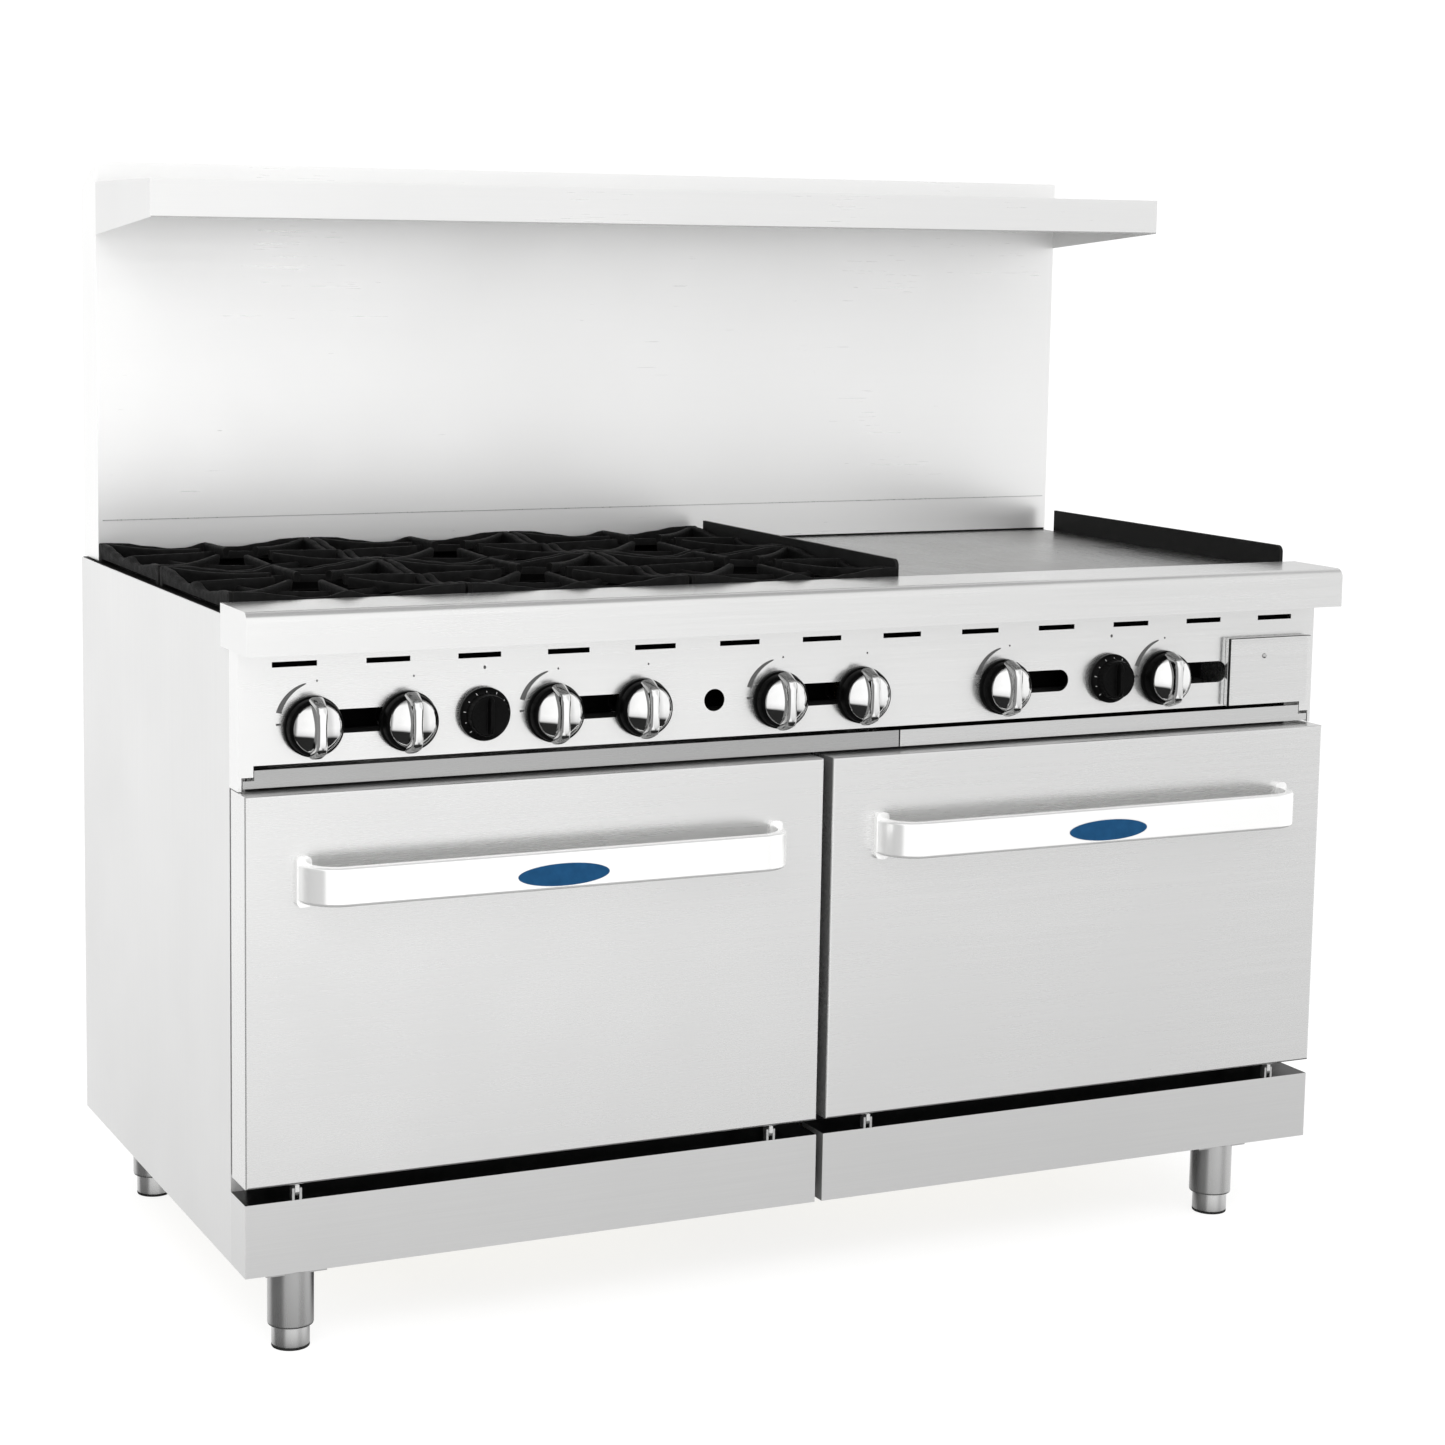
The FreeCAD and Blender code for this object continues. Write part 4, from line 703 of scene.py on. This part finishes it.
def burner_cap(name, spot, top):
    """A ported cast ring with a shallow cap, set over a burner's head."""
    shape = bmesh.new()
    rings = []
    for radius, height, ported in CAP_PROFILE:
        ring = []
        for index, angle in enumerate(angles(PORTS * 4)):
            size = radius - (PORT_DEPTH if ported and index % 4 < 2 else 0)
            ring.append(facing_up(spot, size, angle, top + height))
        rings.append(ring)
    loft(shape, rings)
    piece(name, shape, "range_body", ("iron",), 40)


burner_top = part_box("open_burners")[1].z
for along in ("front", "rear"):
    for across in ("left", "centre", "right"):
        place = "%s_%s" % (along, across)
        burner_cap("burner_cap_" + place, middle_of("grate_" + place), burner_top)


# ---- marks, screws and trim ----

# Printed marks on the control panel: heights, and the places of the index marks.
MARK_RELIEF = 0.0002
KNOB_MARK_HEIGHT = 0.8040
KNOB_MARK_RADIUS = 0.0014
DIAL_MARK_HEIGHT = 0.8100
DIAL_MARK_RADIUS = 0.0022
BURNER_MARK_FIRST = -0.6656
BURNER_MARK_PITCH = 0.3062
BURNER_MARK_SPACING = 0.1203
BURNER_PAIRS = [BURNER_MARK_FIRST + BURNER_MARK_PITCH * pair for pair in range(3)]
GRIDDLE_MARKS = (0.2780, 0.5190)
DIAL_MARKS = (-0.4550, 0.4347)

# The flame arcs beside the left knob of each burner pair and both griddle knobs, with angles in
# degrees. They narrow from ARC_THICK to ARC_THIN, and a short tick marks the off position.
ARC_SPOTS = BURNER_PAIRS + [0.2780, 0.5230]
ARC_CENTRE_HEIGHT = 0.7545
ARC_RADIUS = 0.0486
ARC_START = 164
ARC_SWEEP = 58
ARC_THIN = 0.0010
ARC_THICK = 0.0068
ARC_STEPS = 24
OFF_TICK_RADIUS = 0.0470
OFF_TICK_LENGTH = 0.0060
OFF_TICK_HALF_ANGLE = 0.026

# A screw head's share of its radius and its height at each ring.
SCREW_HEAD = ((1.0, -0.0003), (1.0, 0.0006), (0.86, 0.0013), (0.62, 0.0017), (0.30, 0.0019))
SCREW_SLOT_DEPTH = 0.0005
SCREWS_PER_ROW = 7
SCREW_MARGIN = 0.060

RISER_FACE = 0.3282
RISER_SEAM_HEIGHT = 0.9342
GRIDDLE_TOP = 0.882
SHELF_LIP = 1.3414
TRIM_RELIEF = 0.0006

# Walls of the tubes over the legs and feet: (radius, height) once round each wall.
LEG_WALL = ((0.02755, 0.0296), (0.0276, 0.0293), (0.0279, 0.0300), (0.0280, 0.0315), (0.0280, 0.0985),
            (0.02765, 0.0985))
FOOT_WALL = ((0.0226, 0.0040), (0.0229, 0.0042), (0.0230, 0.0060), (0.0230, 0.0270), (0.0227, 0.0284),
             (0.0226, 0.0284))
DARK_RING_WALL = ((0.0226, 0.0008), (0.0228, 0.0006), (0.0231, 0.0012), (0.0231, 0.0032), (0.0228, 0.0038),
              (0.0226, 0.0038))


def ribbon(shape, centre, stops):
    """A flat curved strip facing -Y about a centre; each stop is (angle, radius, width)."""
    pairs = []
    for angle, radius, width in stops:
        pairs.append([shape.verts.new(facing_front(centre, radius + aside, angle, 0))
                      for aside in (-width / 2, width / 2)])
    for first, second in zip(pairs, pairs[1:]):
        shape.faces.new((first[0], first[1], second[1], second[0]))


def arc_stops():
    """The flame arc's stops, from its thick lower end to its thin upper end."""
    stops = []
    for step in range(ARC_STEPS + 1):
        share = step / ARC_STEPS
        width = ARC_THIN + (ARC_THICK - ARC_THIN) * (1 - share) ** 0.6
        stops.append((math.radians(ARC_START - ARC_SWEEP * share), ARC_RADIUS, width))
    return stops


def index_mark(shape, centre, radius):
    """A small upright oval dot on the panel."""
    ring = [centre + Vector((math.cos(angle) * radius * 0.8, 0, math.sin(angle) * radius))
            for angle in angles(20)]
    shape.faces.new([shape.verts.new(point) for point in ring])


def panel_marks():
    """Printed flame arcs beside five of the knobs, and a small index mark above every control."""
    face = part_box("control_panel")[0].y - MARK_RELIEF
    shape = bmesh.new()
    off_tick = [(math.pi + turn, OFF_TICK_RADIUS, OFF_TICK_LENGTH)
                for turn in (-OFF_TICK_HALF_ANGLE, OFF_TICK_HALF_ANGLE)]
    for x in ARC_SPOTS:
        centre = Vector((x, face, ARC_CENTRE_HEIGHT))
        ribbon(shape, centre, arc_stops())
        ribbon(shape, centre, off_tick)
    for x in BURNER_PAIRS:
        for knob_x in (x, x + BURNER_MARK_SPACING):
            index_mark(shape, Vector((knob_x, face, KNOB_MARK_HEIGHT)), KNOB_MARK_RADIUS)
    for x in GRIDDLE_MARKS:
        index_mark(shape, Vector((x, face, KNOB_MARK_HEIGHT)), KNOB_MARK_RADIUS)
    for x in DIAL_MARKS:
        index_mark(shape, Vector((x, face, DIAL_MARK_HEIGHT)), DIAL_MARK_RADIUS)
    piece("panel_marks", shape, "range_body", ("ink",))


def pan_head(shape, centre, outward, radius):
    """A low domed screw head with a cross cut in it."""
    turn = outward.to_track_quat("Z", "Y").to_matrix()
    rings = []
    for share, height in SCREW_HEAD:
        ring = []
        for index, angle in enumerate(angles(24)):
            slot = SCREW_SLOT_DEPTH if share < 0.7 and index % 6 == 0 else 0
            size = radius * share
            spot = Vector((size * math.cos(angle), size * math.sin(angle), height - slot))
            ring.append(centre + turn @ spot)
        rings.append(ring)
    loft(shape, rings)


def drawer_screw():
    """The one screw in the front of the grease drawer."""
    low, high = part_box("grease_drawer")
    centre = Vector(((low.x + high.x) / 2 - 0.006, low.y + 0.0070, high.z - 0.0254))
    shape = bmesh.new()
    pan_head(shape, centre, Vector((0, -1, 0)), 0.0034)
    piece("drawer_screw", shape, "drawer", ("leg",), 60)


def screw_rows(name, node, insets):
    """Rows of screws across a node's back, inset from its foot, or if negative from its top."""
    low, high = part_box(node)
    shape = bmesh.new()
    for column in range(SCREWS_PER_ROW):
        share = column / (SCREWS_PER_ROW - 1)
        x = low.x + SCREW_MARGIN + (high.x - low.x - 2 * SCREW_MARGIN) * share
        for inset in insets:
            z = inset + (low.z if inset > 0 else high.z)
            pan_head(shape, Vector((x, high.y, z)), Vector((0, 1, 0)), 0.0042)
    piece(name, shape, "range_body", ("leg",), 60)


def slab(shape, low, high):
    """A plain thin plate between two corners."""
    corners = [Vector((x, y, z)) for z in (low[2], high[2])
               for x, y in ((low[0], low[1]), (high[0], low[1]), (high[0], high[1]), (low[0], high[1]))]
    loft(shape, (corners[:4], corners[4:]))


def drawer_shade_strip():
    """A black strip on the left and top flanks of the drawer's folded front, as painted shade."""
    low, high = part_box("grease_drawer")
    front, back = low.y + 0.0010, low.y + 0.0058
    shape = bmesh.new()
    slab(shape, (low.x - 0.0004, front, low.z), (low.x + 0.0002, back, high.z))
    slab(shape, (low.x, front, high.z - 0.0002), (high.x, back, high.z + 0.0004))
    piece("drawer_shade_strip", shape, "drawer", ("coat",))


def riser_trim():
    """The seam above the riser's folded foot, and the dark joint between the griddle and the riser."""
    low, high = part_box("riser")
    griddle_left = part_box("griddle_plate")[0].x
    front = RISER_FACE - TRIM_RELIEF
    shape = bmesh.new()
    slab(shape, (low.x + 0.006, front, RISER_SEAM_HEIGHT),
         (high.x - 0.006, RISER_FACE, RISER_SEAM_HEIGHT + 0.0012))
    piece("riser_seam", shape, "range_body", ("leg",))
    shape = bmesh.new()
    slab(shape, (griddle_left, front, GRIDDLE_TOP), (high.x - 0.002, RISER_FACE, GRIDDLE_TOP + 0.003))
    piece("griddle_joint", shape, "range_body", ("coat",))


def shelf_shade_line():
    """A dark strip along the lower edge of the shelf's turned-down front, as a painted shade line."""
    low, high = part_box("high_shelf")
    shape = bmesh.new()
    slab(shape, (low.x + 0.001, low.y - 0.0003, SHELF_LIP), (high.x - 0.001, low.y, SHELF_LIP + 0.0016))
    piece("shelf_shade_line", shape, "range_body", ("tray",))


def sleeve(shape, centre, profile, material=0):
    """A closed shell about an upright axis; profile is (radius, height) once round the wall."""
    rings = [[facing_up(centre, radius, angle, height) for angle in angles(72)]
             for radius, height in profile]
    loft(shape, rings, closed=True, material=material)


def leg_cover(label):
    """A smooth polished tube over a leg and its foot, with a dark ring at the foot's bottom."""
    centre = middle_of("foot_" + label)
    shape = bmesh.new()
    sleeve(shape, centre, LEG_WALL)
    piece("leg_cover_" + label, shape, "range_body", ("leg",))
    shape = bmesh.new()
    sleeve(shape, centre, FOOT_WALL)
    sleeve(shape, centre, DARK_RING_WALL, 1)
    piece("foot_cover_" + label, shape, "pad_" + label, ("leg", "coat"))


panel_marks()
drawer_screw()
screw_rows("back_screws", "back_panel", (0.020, -0.020))
screw_rows("riser_screws", "riser", (0.040,))
drawer_shade_strip()
riser_trim()
shelf_shade_line()
for along in ("front", "rear"):
    for side in SIDES:
        leg_cover("%s_%s" % (along, side))


# ---- stage, light and camera ----

# How bright the mirrored room is by a direction's X and Z component.
ROOM_ACROSS = ((-1, 0.22), (-0.80, 0.22), (-0.68, 0.88), (0.10, 1.0), (0.27, 1.02), (0.46, 0.77),
               (0.62, 0.65), (0.72, 0.70), (0.86, 0.92), (1, 0.92))
ROOM_UPWARD = ((-1, 0.02), (-0.46, 0.02), (-0.37, 0.78), (-0.26, 0.93), (-0.14, 1.0), (0.70, 1.0),
               (0.84, 0.35), (1, 0.30))

FLOOR_SIZE = 14
ROOM_GLOW = 1.1
MIRRORED_GLOW = 1.15
HALF_FOOTPRINT = (("X", 0.72), ("Y", 0.38))

# The camera stands at the cook's left, a little above the cooktop; its angles are in radians.
CAMERA_PLACE = (-1.7296, -3.5318, 1.3019)
CAMERA_YAW = 0.4197
CAMERA_PITCH = -0.1231
CAMERA_ROLL = 0.0123
CAMERA_LENS = 72.28
CAMERA_SHIFT = (0.0847, -0.0757)


def mixed(m, factor, first, second):
    """A mix of two shaders."""
    node = m.add("ShaderNodeMixShader")
    m.link(factor, node.inputs["Fac"])
    m.link(first, node.inputs[1])
    m.link(second, node.inputs[2])
    return node.outputs["Shader"]


def floor_material():
    """White with a faint contact shadow; to reflections it shows only a painted shade under the range."""
    m = Nodes("floor")
    tint = m.noise(0.8, 2.0)
    m.colour(m.blend(m.spread(tint, 0, 1), grey(0.93), grey(0.96)))
    m.set(Roughness=0.8)
    glow = m.add("ShaderNodeEmission")
    glow.inputs["Strength"].default_value = ROOM_GLOW
    distance = m.add("ShaderNodeVectorMath", operation="LENGTH")
    m.link(m.place, distance.inputs[0])
    plain = mixed(m, m.spread(distance.outputs["Value"], 0.72, 1.0, 0.5, 1.6),
                  m.shader.outputs["BSDF"], glow.outputs["Emission"])
    sides = m.add("ShaderNodeSeparateXYZ")
    m.link(m.place, sides.inputs["Vector"])
    reach = [m.math("DIVIDE", m.math("ABSOLUTE", sides.outputs[axis], 0), size)
             for axis, size in HALF_FOOTPRINT]
    # Painted shade: reflections see a dark glow over the range's footprint and the room through the floor
    # elsewhere.
    dark = m.add("ShaderNodeEmission")
    dark.inputs["Color"].default_value = (0.03, 0.03, 0.03, 1)
    shade = mixed(m, m.spread(m.math("MAXIMUM", *reach), 0, 1, 0.70, 0.95),
                  dark.outputs["Emission"], m.add("ShaderNodeBsdfTransparent").outputs["BSDF"])
    whole = mixed(m, m.add("ShaderNodeLightPath").outputs["Is Glossy Ray"], plain, shade)
    m.link(whole, m.output.inputs["Surface"])
    return m.material


def pale_floor():
    """A wide flat floor under the range."""
    mesh = bpy.data.meshes.new("floor")
    shape = bmesh.new()
    bmesh.ops.create_grid(shape, x_segments=2, y_segments=2, size=FLOOR_SIZE)
    shape.to_mesh(mesh)
    shape.free()
    mesh.materials.append(floor_material())
    floor = bpy.data.objects.new("floor", mesh)
    bpy.context.scene.collection.objects.link(floor)


def stepped(tree, value, stops):
    """A ramp over a direction's component from -1 to 1; each stop is (component, grey)."""
    shift = tree.nodes.new("ShaderNodeMapRange")
    shift.inputs["From Min"].default_value = -1
    tree.links.new(value, shift.inputs["Value"])
    ramp = tree.nodes.new("ShaderNodeValToRGB")
    tree.links.new(shift.outputs["Result"], ramp.inputs["Fac"])
    elements = ramp.color_ramp.elements
    for component, _ in stops[1:-1]:
        elements.new((component + 1) / 2)
    for element, (component, shade) in zip(elements, stops):
        element.position = (component + 1) / 2
        element.color = (shade, shade, shade, 1)
    return ramp.outputs["Color"]


def studio_world():
    """A white room; its reflections darken to the far left, to the right, overhead and low down."""
    world = bpy.data.worlds.new("studio")
    world.use_nodes = True
    tree = world.node_tree
    tree.nodes.clear()
    output = tree.nodes.new("ShaderNodeOutputWorld")
    mix = tree.nodes.new("ShaderNodeMixShader")
    path = tree.nodes.new("ShaderNodeLightPath")
    seen = tree.nodes.new("ShaderNodeBackground")
    seen.inputs["Color"].default_value = (1, 1, 1, 1)
    seen.inputs["Strength"].default_value = ROOM_GLOW
    mirrored = tree.nodes.new("ShaderNodeBackground")
    mirrored.inputs["Strength"].default_value = MIRRORED_GLOW
    coordinate = tree.nodes.new("ShaderNodeTexCoord")
    split = tree.nodes.new("ShaderNodeSeparateXYZ")
    tree.links.new(coordinate.outputs["Generated"], split.inputs["Vector"])
    product = tree.nodes.new("ShaderNodeVectorMath")
    product.operation = "MULTIPLY"
    links = (
        (stepped(tree, split.outputs["X"], ROOM_ACROSS), product.inputs[0]),
        (stepped(tree, split.outputs["Z"], ROOM_UPWARD), product.inputs[1]),
        (product.outputs["Vector"], mirrored.inputs["Color"]),
        (path.outputs["Is Glossy Ray"], mix.inputs["Fac"]),
        (seen.outputs["Background"], mix.inputs[1]),
        (mirrored.outputs["Background"], mix.inputs[2]),
        (mix.outputs["Shader"], output.inputs["Surface"]),
    )
    for start, end in links:
        tree.links.new(start, end)
    bpy.context.scene.world = world


def softbox(name, spot, aim, width, height, power):
    """A rectangular lamp at a spot, turned towards a point, that reflections don't show."""
    lamp = bpy.data.lights.new(name, "AREA")
    lamp.shape = "RECTANGLE"
    lamp.size = width
    lamp.size_y = height
    lamp.energy = power
    thing = bpy.data.objects.new(name, lamp)
    thing.location = spot
    thing.rotation_euler = (Vector(aim) - Vector(spot)).to_track_quat("-Z", "Y").to_euler()
    thing.visible_glossy = False
    bpy.context.scene.collection.objects.link(thing)


def camera():
    """The scene's camera, turned by its yaw, then its pitch, then its roll."""
    data = bpy.data.cameras.new("camera")
    data.sensor_width = 36
    data.lens = CAMERA_LENS
    data.shift_x, data.shift_y = CAMERA_SHIFT
    data.clip_end = 100
    ahead = Vector((math.sin(CAMERA_YAW), math.cos(CAMERA_YAW), 0))
    forward = ahead * math.cos(CAMERA_PITCH) + Vector((0, 0, math.sin(CAMERA_PITCH)))
    level = Vector((math.cos(CAMERA_YAW), -math.sin(CAMERA_YAW), 0))
    upward = level.cross(forward)
    right = math.cos(CAMERA_ROLL) * level + math.sin(CAMERA_ROLL) * upward
    top = -math.sin(CAMERA_ROLL) * level + math.cos(CAMERA_ROLL) * upward
    turn = Matrix((right, top, -forward)).transposed().to_4x4()
    thing = bpy.data.objects.new("camera", data)
    thing.matrix_world = Matrix.Translation(CAMERA_PLACE) @ turn
    bpy.context.scene.collection.objects.link(thing)
    bpy.context.scene.camera = thing


pale_floor()
studio_world()
softbox("key", (-2.2, -3.0, 3.4), (0, 0, 0.6), 2.4, 1.6, 60)
softbox("fill", (3.2, -3.4, 2.2), (0, 0, 0.7), 2.0, 2.0, 20)
softbox("front", (-0.2, -4.2, 0.9), (0, 0.3, 1.1), 2.4, 1.0, 32)
camera()
bpy.context.scene.view_settings.view_transform = "Standard"
